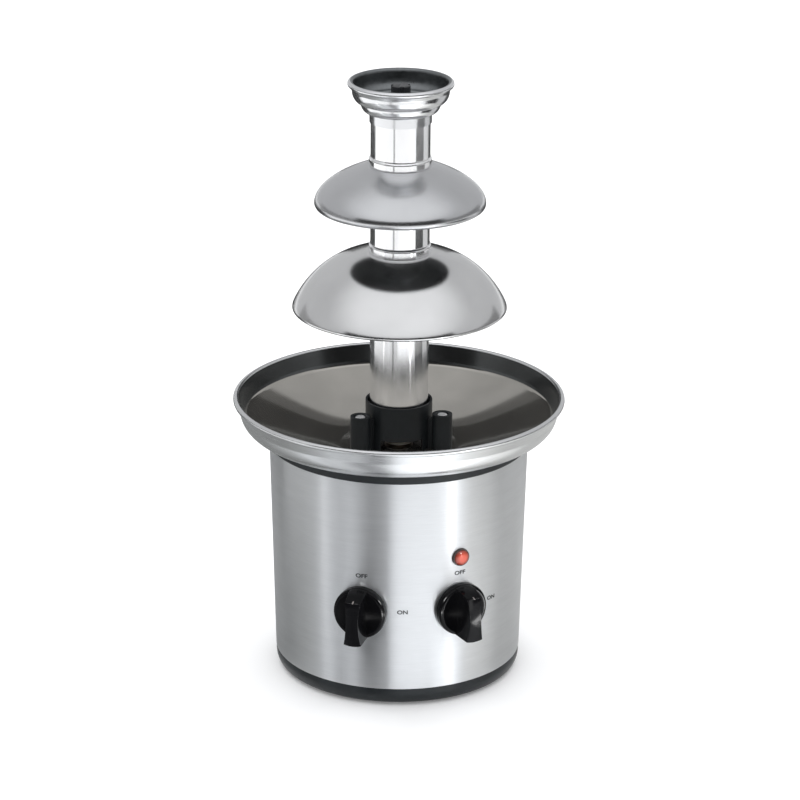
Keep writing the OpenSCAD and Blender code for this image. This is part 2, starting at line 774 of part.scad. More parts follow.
module stator_stack()
    color("#77797b") train() difference() {
        translate([rotor_x - stack_in, -stack_w / 2, z_stack])
            cube([stack_in + stack_out, stack_w, stack_h]);
        translate([rotor_x, 0, z_stack - cut]) cylinder(r = stator_bore_r, h = stack_h + 2 * cut);
        translate([rotor_x - stack_in + limb, -window_w / 2, z_stack - cut])
            cube([window_l, window_w, stack_h + 2 * cut]);
        for (s = [-1, 1]) translate([rotor_x, s * motor_screw_y, z_stack - cut])
            cylinder(r = screw_r + seat_gap, h = stack_h + 2 * cut);
    }

module stator_coil()
    color("#a5622f") train() translate([rotor_x - stack_in, -coil_w / 2, z_stack]) difference() {
        translate([-coil_t, 0, -coil_t]) cube([limb + 2 * coil_t, coil_w, stack_h + 2 * coil_t]);
        translate([-seat_gap, -cut, -seat_gap])
            cube([limb + 2 * seat_gap, coil_w + 2 * cut, stack_h + 2 * seat_gap]);
    }

module motor_bridge()
    color(dark_steel) train() difference() {
        translate([rotor_x - bridge_w / 2, -stack_w / 2, z_bridge])
            cube([bridge_w, stack_w, bridge_drop + bridge_t]);
        translate([rotor_x - bridge_w / 2 - cut, -stack_w / 2 + limb, z_bridge + bridge_t])
            cube([bridge_w + 2 * cut, stack_w - 2 * limb, bridge_drop + cut]);
        translate([rotor_x, 0, z_bridge - cut])
            cylinder(r = rotor_shaft_r + run_gap, h = bridge_t + 2 * cut);
        for (s = [-1, 1]) translate([rotor_x, s * motor_screw_y, z_bridge - cut])
            cylinder(r = screw_r + seat_gap, h = bridge_drop + bridge_t + 2 * cut);
    }

module motor_spacers()
    color(steel) train() for (s = [-1, 1]) translate([rotor_x, s * motor_screw_y, z_stack + stack_h])
        ring(screw_r + seat_gap + spacer_wall, screw_r + seat_gap, motor_drop);

module motor_screws()
    color(steel) train() for (s = [-1, 1]) translate([rotor_x, s * motor_screw_y, z_bridge]) {
        translate([0, 0, -screw_head_h]) cylinder(r = screw_head_r, h = screw_head_h);
        cylinder(r = screw_r, h = z_case + case_floor_t - z_bridge);
    }

module rotor()
    color("#8d8f91") train() translate([rotor_x, 0, 0]) {
        translate([0, 0, z_stack]) cylinder(r = rotor_r, h = stack_h);
        translate([0, 0, z_bridge]) cylinder(r = rotor_shaft_r, h = z_layer_1 + gear_h - z_bridge);
    }

// Drive

module drive_shaft()
    color(steel) translate([0, 0, z_case]) cylinder(r = shaft_r, h = z_dog + dog_h - dog_cap - z_case);

module drive_dog()
    color(dark_steel) translate([0, 0, z_dog]) difference() {
        hex(dog_af, dog_h);
        translate([0, 0, -cut]) cylinder(r = shaft_r + run_gap / 2, h = dog_h - dog_cap + cut);
    }

// Screw: a core with a helical flight of whole turns, as one closed surface from z_from to z_to.
// A step has four corners, from the root below the flight round its edge to the root above it.
module screw(z_from, z_to) {
    root_gap = free_gap;
    turn = flight_steps;
    last = turn * flight_turns;
    pitch = (z_to - z_from - flight_t - 2 * root_gap) / flight_turns;
    edge = 0.2;
    profile = [[core_r, 0], [flight_r, edge], [flight_r, 1 - edge], [core_r, 1]];
    steps = [for (i = [0 : last], c = profile)
        concat(polar(c[0], 360 * i / turn), z_from + root_gap + pitch * i / turn + c[1] * flight_t)];
    ends = [for (z = [z_from, z_to], k = [0 : turn - 1]) concat(polar(core_r, 360 * k / turn), z)];
    function at(i, c) = 4 * i + c;
    function low(k) = 4 * (last + 1) + k % turn;
    function high(k) = low(k) + turn;
    top = last - turn;
    loops = concat(
        [for (i = [0 : last - 1], c = [0 : 2]) [at(i, c), at(i + 1, c), at(i + 1, c + 1), at(i, c + 1)]],
        [for (i = [0 : top - 1]) [at(i, 3), at(i + 1, 3), at(i + turn + 1, 0), at(i + turn, 0)]],
        [for (k = [0 : turn - 2]) [low(k), low(k + 1), at(k + 1, 0), at(k, 0)]],
        [for (k = [1 : turn - 1]) [at(top + k, 3), at(top + k + 1, 3), high(k + 1), high(k)]],
        [[low(turn - 1), low(0), at(0, 0), at(0, 3), at(turn, 0), at(turn - 1, 0)],
         [at(top + 1, 3), high(1), high(0), at(last, 3), at(last, 0), at(top, 3)],
         [for (c = [0 : 3]) at(0, c)],
         [for (c = [3 : -1 : 0]) at(last, c)],
         [for (k = [turn - 1 : -1 : 0]) low(k)],
         [for (k = [0 : turn - 1]) high(k)]]);
    polyhedron(concat(steps, ends), [for (p = loops, i = [1 : len(p) - 2]) [p[0], p[i + 1], p[i]]]);
}

module auger() {
    z_finger = z_top - finger_drop - finger_h;
    color(black) difference() {
        union() {
            translate([0, 0, z_auger]) cylinder(r = hub_r, h = z_hub_top - z_auger);
            screw(z_hub_top - hub_roof_h / 2, z_finger);
            translate([0, 0, z_finger - finger_neck_h])
                cylinder(r1 = core_r + lift_gap, r2 = finger_r, h = finger_neck_h);
            translate([0, 0, z_finger]) cylinder(r = finger_r, h = finger_h);
        }
        translate([0, 0, z_auger - cut])
            hex(dog_af + 2 * lift_gap, z_dog + dog_h + lift_gap - z_auger + cut);
        for (a = [0 : 90 : 270]) rotate([0, 0, a]) translate([finger_r, 0, z_finger])
            cylinder(r = finger_r / 4, h = finger_h + cut, $fn = 32);
    }
}

// Tower

module tower_base() {
    z_post = z_floor + post_h;
    color(black) difference() {
        union() {
            translate([0, 0, z_floor]) cylinder(r = collar_r, h = collar_h);
            at_posts(z_floor) cylinder(d = post_d, h = post_h);
            for (a = POST_ANGLES) rotate([0, 0, a]) translate([-web_t / 2, -post_circle_r, z_floor])
                cube([web_t, post_circle_r - tube_r, post_h - web_drop]);
        }
        translate([0, 0, z_floor - cut]) cylinder(r = tube_in_r, h = collar_h + 2 * cut);
        translate([0, 0, z_tube]) cylinder(r = tube_r + seat_gap, h = collar_h);
        translate([0, 0, z_floor + collar_h - collar_mouth_h])
            cylinder(r1 = tube_r + seat_gap, r2 = tube_r + collar_mouth_gap, h = collar_mouth_h + tiny);
        for (a = POST_ANGLES) rotate([0, 0, a + 180])
            translate([-inlet_w / 2, -collar_r - cut, z_floor - cut])
                cube([inlet_w, collar_r, inlet_h + cut]);
        at_posts(z_floor - cut) cylinder(d = pin_bore_d, h = post_h + 2 * cut);
        at_posts(z_post - pin_mouth_h)
            cylinder(d1 = pin_bore_d, d2 = pin_mouth_d, h = pin_mouth_h + tiny);
    }
}

module lower_tube()
    color(steel) translate([0, 0, z_tube])
        ring(tube_r, tube_in_r, z_neck_1 + socket_h - shoulder_t - lift_gap - z_tube);

// Dome of a tier: height of its outside above the rim, from the rim radius, the rise and two powers
function dome(r, rim_r, rise, power_in, power_out) =
    rise * pow(1 - pow(r / rim_r, power_in), 1 / power_out);

module tier(rim_r, height, z_neck, power_in, power_out) {
    rise = height / dome(neck_r, rim_r, 1, power_in, power_out);
    z_low = z_neck - height;
    in_rim_r = rim_r - tier_wall;
    steps = 2 * arc_steps;
    function curve(r_end, rise_end) = [for (i = [0 : steps])
        let (r = neck_r + (r_end - neck_r) * sin(90 * i / steps))
        [r, z_low + dome(r, r_end, rise_end, power_in, power_out)]];
    outside = curve(rim_r, rise);
    inside = reversed(curve(in_rim_r, rise - tier_wall));
    lip = [[rim_r - tier_lip / 4, z_low - tier_lip], [in_rim_r - tier_lip / 2, z_low - tier_lip]];
    hole_r = tube_r + seat_gap;
    rotate_extrude() polygon(concat([[hole_r, z_neck]], outside, lip, inside,
        [[hole_r, inside[len(inside) - 1][1]]]));
}

module lower_tier()
    color(steel) tier(lower_tier_d / 2, lower_tier_h, z_neck_1, LOWER_DOME[0], LOWER_DOME[1]);

module upper_tier()
    color(steel) tier(upper_tier_d / 2, upper_tier_h, z_neck_2, UPPER_DOME[0], UPPER_DOME[1]);

// Tube whose foot is a socket over the end of the tube below
module socket_tube(z_foot, z_end) {
    z_shoulder = z_foot + socket_h;
    rotate_extrude() polygon([
        [tube_r + lift_gap, z_foot],
        [socket_r, z_foot],
        [socket_r, z_shoulder - shoulder_t],
        [socket_r - socket_wall / 2, z_shoulder - shoulder_t / 3],
        [tube_r, z_shoulder],
        [tube_r, z_end],
        [tube_in_r, z_end],
        [tube_in_r, z_shoulder - shoulder_t],
        [tube_r + lift_gap, z_shoulder - shoulder_t]]);
}

module middle_tube()
    color(steel) socket_tube(z_neck_1, z_neck_2 + socket_h - shoulder_t - lift_gap);

module upper_tube()
    color(steel) socket_tube(z_neck_2, z_crown + tier_wall);

module crown() {
    rim_r = crown_d / 2;
    sleeve_r = tube_r + seat_gap + crown_neck_wall;
    bead_r = (rim_r - crown_cup_r + tier_wall) / 2;
    outside = concat(
        [[sleeve_r, z_crown - crown_neck_h]],
        reversed(quarter(sleeve_r, z_cup, crown_step_r - sleeve_r, -crown_step_h)),
        reversed(quarter(crown_step_r, z_lip, crown_cup_r - crown_step_r, -crown_cup_h)),
        arc(rim_r - bead_r, z_top - bead_r, bead_r, CROWN_BEAD_ARC[0], CROWN_BEAD_ARC[1]),
        [[crown_cup_r - tier_wall, z_top - bead_r]]);
    inside = concat(
        quarter(crown_step_r, z_lip, crown_cup_r - tier_wall - crown_step_r, tier_wall - crown_cup_h),
        quarter(sleeve_r, z_cup, crown_step_r - tier_wall - sleeve_r, tier_wall - crown_step_h),
        [[tube_r + seat_gap, z_crown + tier_wall],
         [tube_r + seat_gap, z_crown - crown_neck_h]]);
    color(steel) rotate_extrude() polygon(concat(outside, inside));
}

// Controls

module rotary_switch(angle) {
    bush_l = z_panel_nut + panel_nut_h - switch_face_r;
    color(gloss_black) at_wall(angle, knob_z, switch_face_r) difference() {
        union() {
            translate([-switch_w / 2, -switch_w / 2, -switch_l]) cube([switch_w, switch_w, switch_l]);
            cylinder(r = switch_bush_r, h = bush_l);
        }
        translate([0, 0, -spindle_in - free_gap])
            cylinder(r = spindle_r + run_gap, h = spindle_in + free_gap + bush_l + cut);
    }
}

module spindle(angle)
    color(steel) at_wall(angle, knob_z, switch_face_r - spindle_in)
        cylinder(r = spindle_r, h = knob_base_r + spindle_out - switch_face_r + spindle_in);

// Knob: tapered round body, two scoops beside a grip bar, and a front that rolls off towards the tail
module knob(angle) {
    disc_r = knob_d / 2;
    color(gloss_black) at_wall(angle, knob_z, knob_base_r) difference() {
        union() {
            rotate_extrude() polygon(concat(
                [[0, 0], [disc_r, 0]],
                arc(disc_r - knob_edge_r, knob_disc_h - knob_edge_r, knob_edge_r, 0, 90),
                [[0, knob_disc_h]]));
            intersection() {
                cylinder(r = disc_r - knob_bar_step, h = knob_h);
                translate([0, knob_crest_y, knob_h - knob_crest_r]) rotate([0, 90, 0])
                    cylinder(r = knob_crest_r, h = 2 * knob_d, center = true);
                linear_extrude(knob_h) difference() {
                    square(knob_d, center = true);
                    for (s = [-1, 1]) translate([s * (knob_bar_w / 2 + knob_waist_r), 0])
                        circle(r = knob_waist_r);
                }
            }
        }
        translate([-knob_d, knob_slope_y, knob_h]) rotate([knob_slope_angle, 0, 0])
            translate([0, 0, -2 * knob_h]) cube([2 * knob_d, knob_d, 4 * knob_h]);
        translate([0, 0, -cut]) cylinder(r = knob_recess_r, h = knob_recess_h + cut);
        translate([0, 0, -cut]) cylinder(r = spindle_r + run_gap / 2, h = spindle_out + cut);
    }
}

module motor_switch() rotary_switch(-knob_angle);
module heat_switch() rotary_switch(knob_angle);
module motor_spindle() spindle(-knob_angle);
module heat_spindle() spindle(knob_angle);
module motor_knob() knob(-knob_angle);
module heat_knob() knob(knob_angle);

module switch_nuts()
    color(steel) for (a = [-knob_angle, knob_angle])
        at_wall(a, knob_z, z_panel_nut) hex_nut(panel_nut_af, switch_bush_r + seat_gap, panel_nut_h);

module pilot_bezel()
    color("#3a3634") at_wall(knob_angle, lamp_z, lamp_face_r) difference() {
        cylinder(r1 = lamp_r, r2 = lamp_r - bezel_w / 2, h = bezel_h);
        translate([0, 0, -cut]) cylinder(r = lens_r, h = bezel_h + 2 * cut);
    }

module pilot_lens()
    color("#d8452a") at_wall(knob_angle, lamp_z, lamp_face_r) rotate_extrude() polygon(concat(
        [[0, 0], [lens_r - seat_gap, 0]],
        quarter(0, bezel_h, lens_r - seat_gap, lens_h - bezel_h)));

module pilot_body()
    color("#e9e6df") at_wall(knob_angle, lamp_z, lamp_face_r - lamp_body_l)
        cylinder(r = lamp_body_r, h = lamp_body_l);

module pilot_clip()
    color(steel) at_wall(knob_angle, lamp_z, shell_in_least(lamp_z, lamp_r) - clip_t - lamp_step)
        ring(lamp_body_r + clip_w, lamp_body_r + seat_gap, clip_t);

module cord_gland()
    color(black) at_wall(180, gland_z, gland_face_r) difference() {
        union() {
            cylinder(r1 = gland_flange_r, r2 = gland_r + gland_wall / 2, h = gland_flange_h);
            translate([0, 0, -gland_l]) cylinder(r = gland_r, h = gland_l + gland_flange_h);
        }
        translate([0, 0, -gland_l - cut])
            cylinder(d = gland_bore_d, h = gland_l + gland_flange_h + 2 * cut);
    }

module gland_nut()
    color(black) at_wall(180, gland_z, gland_nut_face_r - gland_nut_h)
        hex_nut(gland_nut_af, gland_r + seat_gap, gland_nut_h);

module terminal_block()
    color(nylon) translate([block_at.x, block_at.y, z_base + plate_t]) rotate([0, 0, 45]) difference() {
        translate([-block_l / 2, -block_w / 2, 0]) cube([block_l, block_w, block_h]);
        for (i = [-1 : 1]) translate([i * block_l / 3, 0, block_h - block_hole_h]) {
            translate([0, block_w / 5, 0]) cylinder(d = block_hole_d, h = block_h, $fn = 32);
            translate([0, -block_w / 5, 0]) cylinder(d = block_hole_d, h = block_h, $fn = 32);
        }
    }

rubber_feet();
base_ring();
bottom_plate();
base_screws();
housing_shell();
top_ring();
bowl();
locating_pins();
pin_nuts();
heater_plate();
heater_element();
thermostat();
thermal_fuse();
shaft_bush();
bush_nut();
shaft_seal();
motor_bracket();
bracket_screws();
gearbox_cover();
gearbox_case();
gearbox_screws();
idler_pin();
stator_stack();
stator_coil();
motor_bridge();
motor_spacers();
motor_screws();
motor_switch();
heat_switch();
switch_nuts();
pilot_bezel();
pilot_lens();
pilot_body();
pilot_clip();
cord_gland();
gland_nut();
terminal_block();
rotor();
motor_pinion();
idler_gear();
output_gear();
drive_shaft();
drive_dog();
auger();
tower_base();
lower_tube();
lower_tier();
middle_tube();
upper_tier();
upper_tube();
crown();
motor_knob();
motor_spindle();
heat_knob();
heat_spindle();
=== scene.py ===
import math

import bmesh
import bpy
from mathutils import Matrix, Vector


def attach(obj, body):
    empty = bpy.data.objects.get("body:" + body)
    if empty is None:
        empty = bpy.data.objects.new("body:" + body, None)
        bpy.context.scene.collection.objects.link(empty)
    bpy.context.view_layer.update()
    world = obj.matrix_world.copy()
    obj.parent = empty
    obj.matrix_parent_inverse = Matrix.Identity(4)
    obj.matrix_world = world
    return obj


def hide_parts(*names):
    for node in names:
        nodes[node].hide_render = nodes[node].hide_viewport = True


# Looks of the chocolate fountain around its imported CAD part, with sizes in millimetres in the part's frame
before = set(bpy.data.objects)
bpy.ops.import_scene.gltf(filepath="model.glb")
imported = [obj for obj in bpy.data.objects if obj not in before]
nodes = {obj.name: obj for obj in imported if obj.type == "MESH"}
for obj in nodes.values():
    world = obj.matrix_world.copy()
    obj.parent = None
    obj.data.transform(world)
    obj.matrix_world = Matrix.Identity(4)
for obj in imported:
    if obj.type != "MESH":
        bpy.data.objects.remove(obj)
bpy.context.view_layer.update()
MM = 0.001

# Drum wall, and the controls on it
SHELL_FOOT_R = 80.5
SHELL_TOP_R = 84.2
SHELL_FOOT_Z = 12.4
SHELL_H = 142.6
KNOB_ANGLE = 22.5
KNOB_Z = 66.6
KNOB_FOOT = 82.7526
LAMP_Z = 101.6
LAMP_R = 5.2

# Tower
TUBE_R = 19.0
TUBE_BORE_R = 18.2
LOWER_NECK_Z = 282.7
UPPER_NECK_Z = 340.0


def round_spot(angle, r, z):
    """The spot at a radius and a height, at an angle in radians from the front."""
    return r * math.sin(angle), -r * math.cos(angle), z


def shell_r(z):
    """Radius of the drum wall at a height."""
    return SHELL_FOOT_R + (SHELL_TOP_R - SHELL_FOOT_R) * (z - SHELL_FOOT_Z) / SHELL_H


def wall_point(angle, z, out=0.0):
    """A point on the drum wall, or out from it, in metres, at an angle from the front in degrees."""
    return Vector(round_spot(math.radians(angle), shell_r(z) + out, z)) * MM


# Node helpers

class Shader:
    """A material with a Principled shader, and short calls for the nodes that feed it."""

    def __init__(self, name, color, metallic, roughness, **sockets):
        self.mat = bpy.data.materials.new(name)
        self.mat.use_nodes = True
        self.tree = self.mat.node_tree
        self.bsdf = self.tree.nodes["Principled BSDF"]
        self.color = color
        self.set("Base Color", (*color, 1))
        self.set("Metallic", metallic)
        self.set("Roughness", roughness)
        for socket, value in sockets.items():
            self.set(socket.replace("_", " "), value)

    def set(self, socket, value):
        self.bsdf.inputs[socket].default_value = value

    def node(self, kind, **values):
        n = self.tree.nodes.new(kind)
        for key, value in values.items():
            setattr(n, key, value)
        return n

    def link(self, out, to):
        self.tree.links.new(out, to)

    def feed(self, n, values):
        """Gives a node's first inputs a number or a link each."""
        for socket, value in zip(n.inputs, values):
            if isinstance(value, (int, float)):
                socket.default_value = value
            else:
                self.link(value, socket)
        return n.outputs[0]

    def math(self, operation, *values):
        return self.feed(self.node("ShaderNodeMath", operation=operation), values)

    def times(self, value, factor):
        return self.math("MULTIPLY", value, factor)

    def vector(self, x, y, z):
        return self.feed(self.node("ShaderNodeCombineXYZ"), (x, y, z))

    def blend(self, a, share, b):
        """A share of one value and the rest of another."""
        return self.math("ADD", self.times(a, share), self.times(b, 1 - share))

    def place(self):
        """Object coordinates in metres."""
        return self.node("ShaderNodeTexCoord").outputs["Object"]

    def round_place(self):
        """Angle from the front in radians, height and radius in metres."""
        parts = self.node("ShaderNodeSeparateXYZ")
        self.link(self.place(), parts.inputs[0])
        x, y, z = parts.outputs
        angle = self.math("ARCTAN2", x, self.times(y, -1.0))
        radius = self.math("SQRT", self.math("ADD", self.times(x, x), self.times(y, y)))
        return angle, z, radius

    def noise(self, vector, scale, detail, rough=0.55):
        n = self.node("ShaderNodeTexNoise")
        n.inputs["Scale"].default_value = scale
        n.inputs["Detail"].default_value = detail
        n.inputs["Roughness"].default_value = rough
        self.link(vector, n.inputs["Vector"])
        return n.outputs["Fac"]

    def streaks(self, angle, up, detail, rough=0.55, seed=0.0):
        """Noise over a scaled angle and a scaled height, drawn out along the one with the smaller scale."""
        return self.noise(self.vector(angle, up, seed), 1.0, detail, rough)

    def span(self, value, low, high, lo, hi):
        """Maps a value from lo..hi to low..high."""
        n = self.node("ShaderNodeMapRange")
        self.link(value, n.inputs["Value"])
        for i, v in ((1, lo), (2, hi), (3, low), (4, high)):
            n.inputs[i].default_value = v
        return n.outputs["Result"]

    def tint(self, value, dark, light, lo=0.3, hi=0.7):
        """Base colour from dark times to light times the colour, by a value."""
        n = self.node("ShaderNodeMix", data_type="RGBA")
        self.link(self.span(value, 0.0, 1.0, lo, hi), n.inputs["Factor"])
        n.inputs["A"].default_value = (*[min(1.0, c * dark) for c in self.color], 1)
        n.inputs["B"].default_value = (*[min(1.0, c * light) for c in self.color], 1)
        self.link(n.outputs["Result"], self.bsdf.inputs["Base Color"])

    def rough(self, value, low, high, lo=0.3, hi=0.7):
        self.link(self.span(value, low, high, lo, hi), self.bsdf.inputs["Roughness"])

    def bump(self, value, height, strength, bevel=None):
        """Bump of a height in millimetres, over edges rounded by a bevel in millimetres where it is given."""
        n = self.node("ShaderNodeBump")
        n.inputs["Strength"].default_value = strength
        n.inputs["Distance"].default_value = height * MM
        self.link(value, n.inputs["Height"])
        if bevel:
            b = self.node("ShaderNodeBevel", samples=6)
            b.inputs["Radius"].default_value = bevel * MM
            self.link(b.outputs[0], n.inputs["Normal"])
        self.link(n.outputs[0], self.bsdf.inputs["Normal"])

    def radial_tangent(self):
        n = self.node("ShaderNodeTangent", direction_type="RADIAL", axis="Z")
        self.link(n.outputs[0], self.bsdf.inputs["Tangent"])


# Materials

def drum_steel():
    """Steel brushed round the drum: fine lines along the brushing, so highlights spread up and down."""
    s = Shader("drum_steel", (0.79, 0.80, 0.81), 1.0, 0.40, Anisotropic=0.96, Anisotropic_Rotation=0.25)
    s.radial_tangent()
    angle, z, _ = s.round_place()
    lines = s.streaks(s.times(angle, 5.0), s.times(z, 2600.0), 5.0, 0.7)
    broad = s.streaks(s.times(angle, 2.0), s.times(z, 160.0), 2.0, seed=3.0)
    both = s.blend(lines, 0.65, broad)
    s.tint(both, 0.90, 1.05)
    s.rough(both, 0.35, 0.45)
    s.bump(lines, 0.006, 0.35)
    return s.mat


def satin_steel(name, color, roughness):
    """Spun and satin-polished steel of the domes, with rings that run over the dome."""
    s = Shader(name, color, 1.0, roughness, Anisotropic=0.25)
    s.radial_tangent()
    angle, z, radius = s.round_place()
    run = s.math("ADD", s.times(z, 1500.0), s.times(radius, 1500.0))
    rings = s.streaks(s.times(angle, 3.0), run, 4.0, 0.65)
    cloud = s.noise(s.place(), 28.0, 3.0)
    s.tint(cloud, 0.95, 1.04)
    s.rough(s.blend(rings, 0.6, cloud), roughness * 0.85, roughness * 1.15)
    s.bump(rings, 0.003, 0.25)
    return s.mat


def drawn_steel():
    """Bright drawn tube: fine lines along the tube and a few wiped smears."""
    s = Shader("drawn_steel", (0.92, 0.92, 0.925), 1.0, 0.15, Anisotropic=0.9, Anisotropic_Rotation=0.25)
    s.radial_tangent()
    angle, z, _ = s.round_place()
    lines = s.streaks(s.times(angle, 70.0), s.times(z, 25.0), 4.0, 0.6)
    smear = s.streaks(s.times(angle, 2.0), s.times(z, 60.0), 3.0, seed=1.0)
    s.tint(s.blend(lines, 0.6, smear), 0.92, 1.05)
    s.rough(smear, 0.12, 0.18)
    s.bump(lines, 0.001, 0.15)
    return s.mat


def crown_steel():
    """Spun and polished steel of the crown."""
    s = Shader("crown_steel", (0.74, 0.745, 0.755), 1.0, 0.18, Anisotropic=0.3)
    s.radial_tangent()
    angle, z, _ = s.round_place()
    rings = s.streaks(s.times(angle, 3.0), s.times(z, 1400.0), 4.0, 0.65)
    s.tint(rings, 0.95, 1.04)
    s.rough(rings, 0.15, 0.22)
    s.bump(rings, 0.003, 0.25)
    return s.mat


def bowl_outside():
    """Spun steel of the bowl's outside, polished almost smooth."""
    s = Shader("bowl_outside", (0.68, 0.685, 0.69), 1.0, 0.25, Anisotropic=0.4)
    s.radial_tangent()
    angle, z, _ = s.round_place()
    rings = s.streaks(s.times(angle, 3.0), s.times(z, 1800.0), 4.0, 0.65)
    s.tint(rings, 0.98, 1.01)
    s.rough(rings, 0.23, 0.28)
    s.bump(rings, 0.0006, 0.1)
    return s.mat


def bowl_inside(name, color, roughness):
    """Dark non-stick coat: a fine speckle in a smooth film over turned metal."""
    s = Shader(name, color, 0.9, roughness)
    speck = s.noise(s.place(), 2600.0, 2.0)
    cloud = s.noise(s.place(), 24.0, 2.0)
    s.tint(s.blend(speck, 0.4, cloud), 0.85, 1.15)
    s.rough(cloud, roughness * 0.8, roughness * 1.2)
    s.bump(speck, 0.004, 0.08)
    return s.mat


def plastic(name, color, roughness, grain=1500.0, height=0.01, bevel=None, gloss=0.5):
    """Moulded plastic with a fine grain, and wear that shows as a little gloss."""
    s = Shader(name, color, 0.0, roughness, Specular_IOR_Level=gloss)
    fine = s.noise(s.place(), grain, 3.0)
    broad = s.noise(s.place(), 60.0, 3.0)
    s.tint(broad, 0.8, 1.25)
    s.rough(s.blend(fine, 0.5, broad), roughness * 0.85, roughness * 1.2)
    s.bump(fine, height, 0.35, bevel)
    return s.mat


def metal(name, color, roughness, scale, stretch=(1.0, 1.0, 1.0), bevel=None):
    """Plain worked metal: plate, casting or turned pieces, by the stretch of its grain."""
    s = Shader(name, color, 1.0, roughness)
    m = s.node("ShaderNodeMapping")
    m.inputs["Scale"].default_value = stretch
    s.link(s.place(), m.inputs["Vector"])
    grain = s.noise(m.outputs[0], scale, 4.0, 0.6)
    s.tint(grain, 0.85, 1.1)
    s.rough(grain, roughness * 0.8, roughness * 1.3)
    s.bump(grain, 0.01, 0.25, bevel)
    return s.mat


def layered(name, color, metallic, roughness, pitch):
    """Stacked sheets or wound wire: level lines of a pitch in millimetres."""
    s = Shader(name, color, metallic, roughness)
    w = s.node("ShaderNodeTexWave", wave_type="BANDS", bands_direction="Z")
    w.inputs["Scale"].default_value = 2 * math.pi / (20 * pitch * MM)
    w.inputs["Distortion"].default_value = 0.4
    s.link(s.place(), w.inputs["Vector"])
    s.tint(w.outputs["Fac"], 0.55, 1.15, 0.2, 0.8)
    s.rough(w.outputs["Fac"], roughness * 1.2, roughness * 0.85, 0.2, 0.8)
    s.bump(w.outputs["Fac"], 0.15, 0.6)
    return s.mat


def lens_red(angle, z, radius):
    """Moulded red lens, lighter in its middle and darker toward its edge as painted shade, with small facets
    inside.
    """
    s = Shader("lamp_lens", (0.56, 0.09, 0.055), 0.0, 0.10, IOR=1.45, Coat_Weight=0.3, Coat_Roughness=0.04)
    offset = s.node("ShaderNodeVectorMath", operation="SUBTRACT")
    offset.inputs[1].default_value = wall_point(angle, z)
    s.link(s.place(), offset.inputs[0])
    aside = s.node("ShaderNodeVectorMath", operation="CROSS_PRODUCT")
    aside.inputs[1].default_value = round_spot(math.radians(angle), 1.0, 0.0)
    s.link(offset.outputs[0], aside.inputs[0])
    reach = s.node("ShaderNodeVectorMath", operation="LENGTH")
    s.link(aside.outputs[0], reach.inputs[0])
    cells = s.node("ShaderNodeTexVoronoi")
    cells.inputs["Scale"].default_value = 700.0
    s.link(s.place(), cells.inputs["Vector"])
    # Painted shade: the colour darkens from the lens's axis toward its edge
    s.tint(reach.outputs["Value"], 1.15, 0.22, radius * 0.40 * MM, radius * MM)
    s.rough(cells.outputs["Distance"], 0.07, 0.16, 0.1, 0.6)
    s.bump(cells.outputs["Distance"], 0.04, 0.2)
    return s.mat


def print_ink():
    """Black print with a slightly uneven film."""
    s = Shader("print_ink", (0.02, 0.02, 0.022), 0.0, 0.55)
    film = s.noise(s.place(), 3000.0, 2.0)
    s.tint(film, 0.7, 1.6)
    s.rough(film, 0.45, 0.65)
    s.bump(film, 0.01, 0.2)
    return s.mat


DRUM = drum_steel()
SATIN = satin_steel("tier_steel", (0.68, 0.68, 0.68), 0.16)
# The upper tier's steel: the same satin as the lower tier's, a little rougher, and darker as painted shade
SATIN_SHADED_UPPER = satin_steel("tier_satin_painted_shade", (0.57, 0.575, 0.585), 0.22)
DRAWN = drawn_steel()
CROWN = crown_steel()
BOWL_OUT = bowl_outside()
# The coat inside the bowl: the wall's is a darker copy of the floor's, as painted shade
BOWL_FLOOR = bowl_inside("bowl_floor", (0.40, 0.385, 0.355), 0.09)
BOWL_WALL_SHADE = bowl_inside("bowl_wall", (0.10, 0.104, 0.104), 0.20)
BLACK = plastic("black_plastic", (0.016, 0.019, 0.021), 0.40, bevel=0.5, gloss=0.35)
RING_BLACK = plastic("ring_plastic", (0.013, 0.016, 0.018), 0.36, gloss=0.3)
AUGER = plastic("auger_plastic", (0.020, 0.021, 0.023), 0.36)
KNOB = plastic("knob_plastic", (0.001, 0.001, 0.0012), 0.13, grain=900.0, height=0.002, gloss=0.12)
SWITCH = plastic("switch_plastic", (0.03, 0.03, 0.032), 0.3, bevel=0.4)
RUBBER = plastic("foot_rubber", (0.03, 0.03, 0.03), 0.8, grain=2500.0, height=0.03)
SILICONE = plastic("seal_rubber", (0.60, 0.56, 0.50), 0.6)
PLATE = metal("plate_steel", (0.50, 0.52, 0.53), 0.38, 300.0, (1.0, 6.0, 1.0), bevel=0.3)
PIN = metal("pin_steel", (0.98, 0.98, 0.98), 0.7, 900.0, bevel=0.3)
FASTENER = metal("fastener_steel", (0.68, 0.69, 0.70), 0.22, 900.0, bevel=0.3)
SHAFT = metal("shaft_steel", (0.60, 0.61, 0.62), 0.18, 1500.0, (1.0, 1.0, 0.1), bevel=0.3)
CASTING = metal("gearbox_metal", (0.55, 0.56, 0.57), 0.45, 700.0, bevel=0.5)
STACK = layered("lamination_steel", (0.30, 0.30, 0.31), 1.0, 0.42, 0.6)
COIL = layered("coil_wire", (0.55, 0.24, 0.10), 0.9, 0.32, 0.8)
BRASS = metal("turned_brass", (0.72, 0.53, 0.24), 0.24, 900.0, (1.0, 1.0, 4.0), bevel=0.2)
BRONZE = metal("bush_bronze", (0.08, 0.062, 0.045), 0.5, 900.0, bevel=0.2)
NYLON = plastic("gear_nylon", (0.82, 0.80, 0.72), 0.45, bevel=0.1)
BLOCK = plastic("block_nylon", (0.84, 0.83, 0.78), 0.5, bevel=0.4)
LENS = lens_red(KNOB_ANGLE, LAMP_Z, LAMP_R)
BEZEL = plastic("lamp_bezel", (0.05, 0.035, 0.032), 0.2, bevel=0.15)
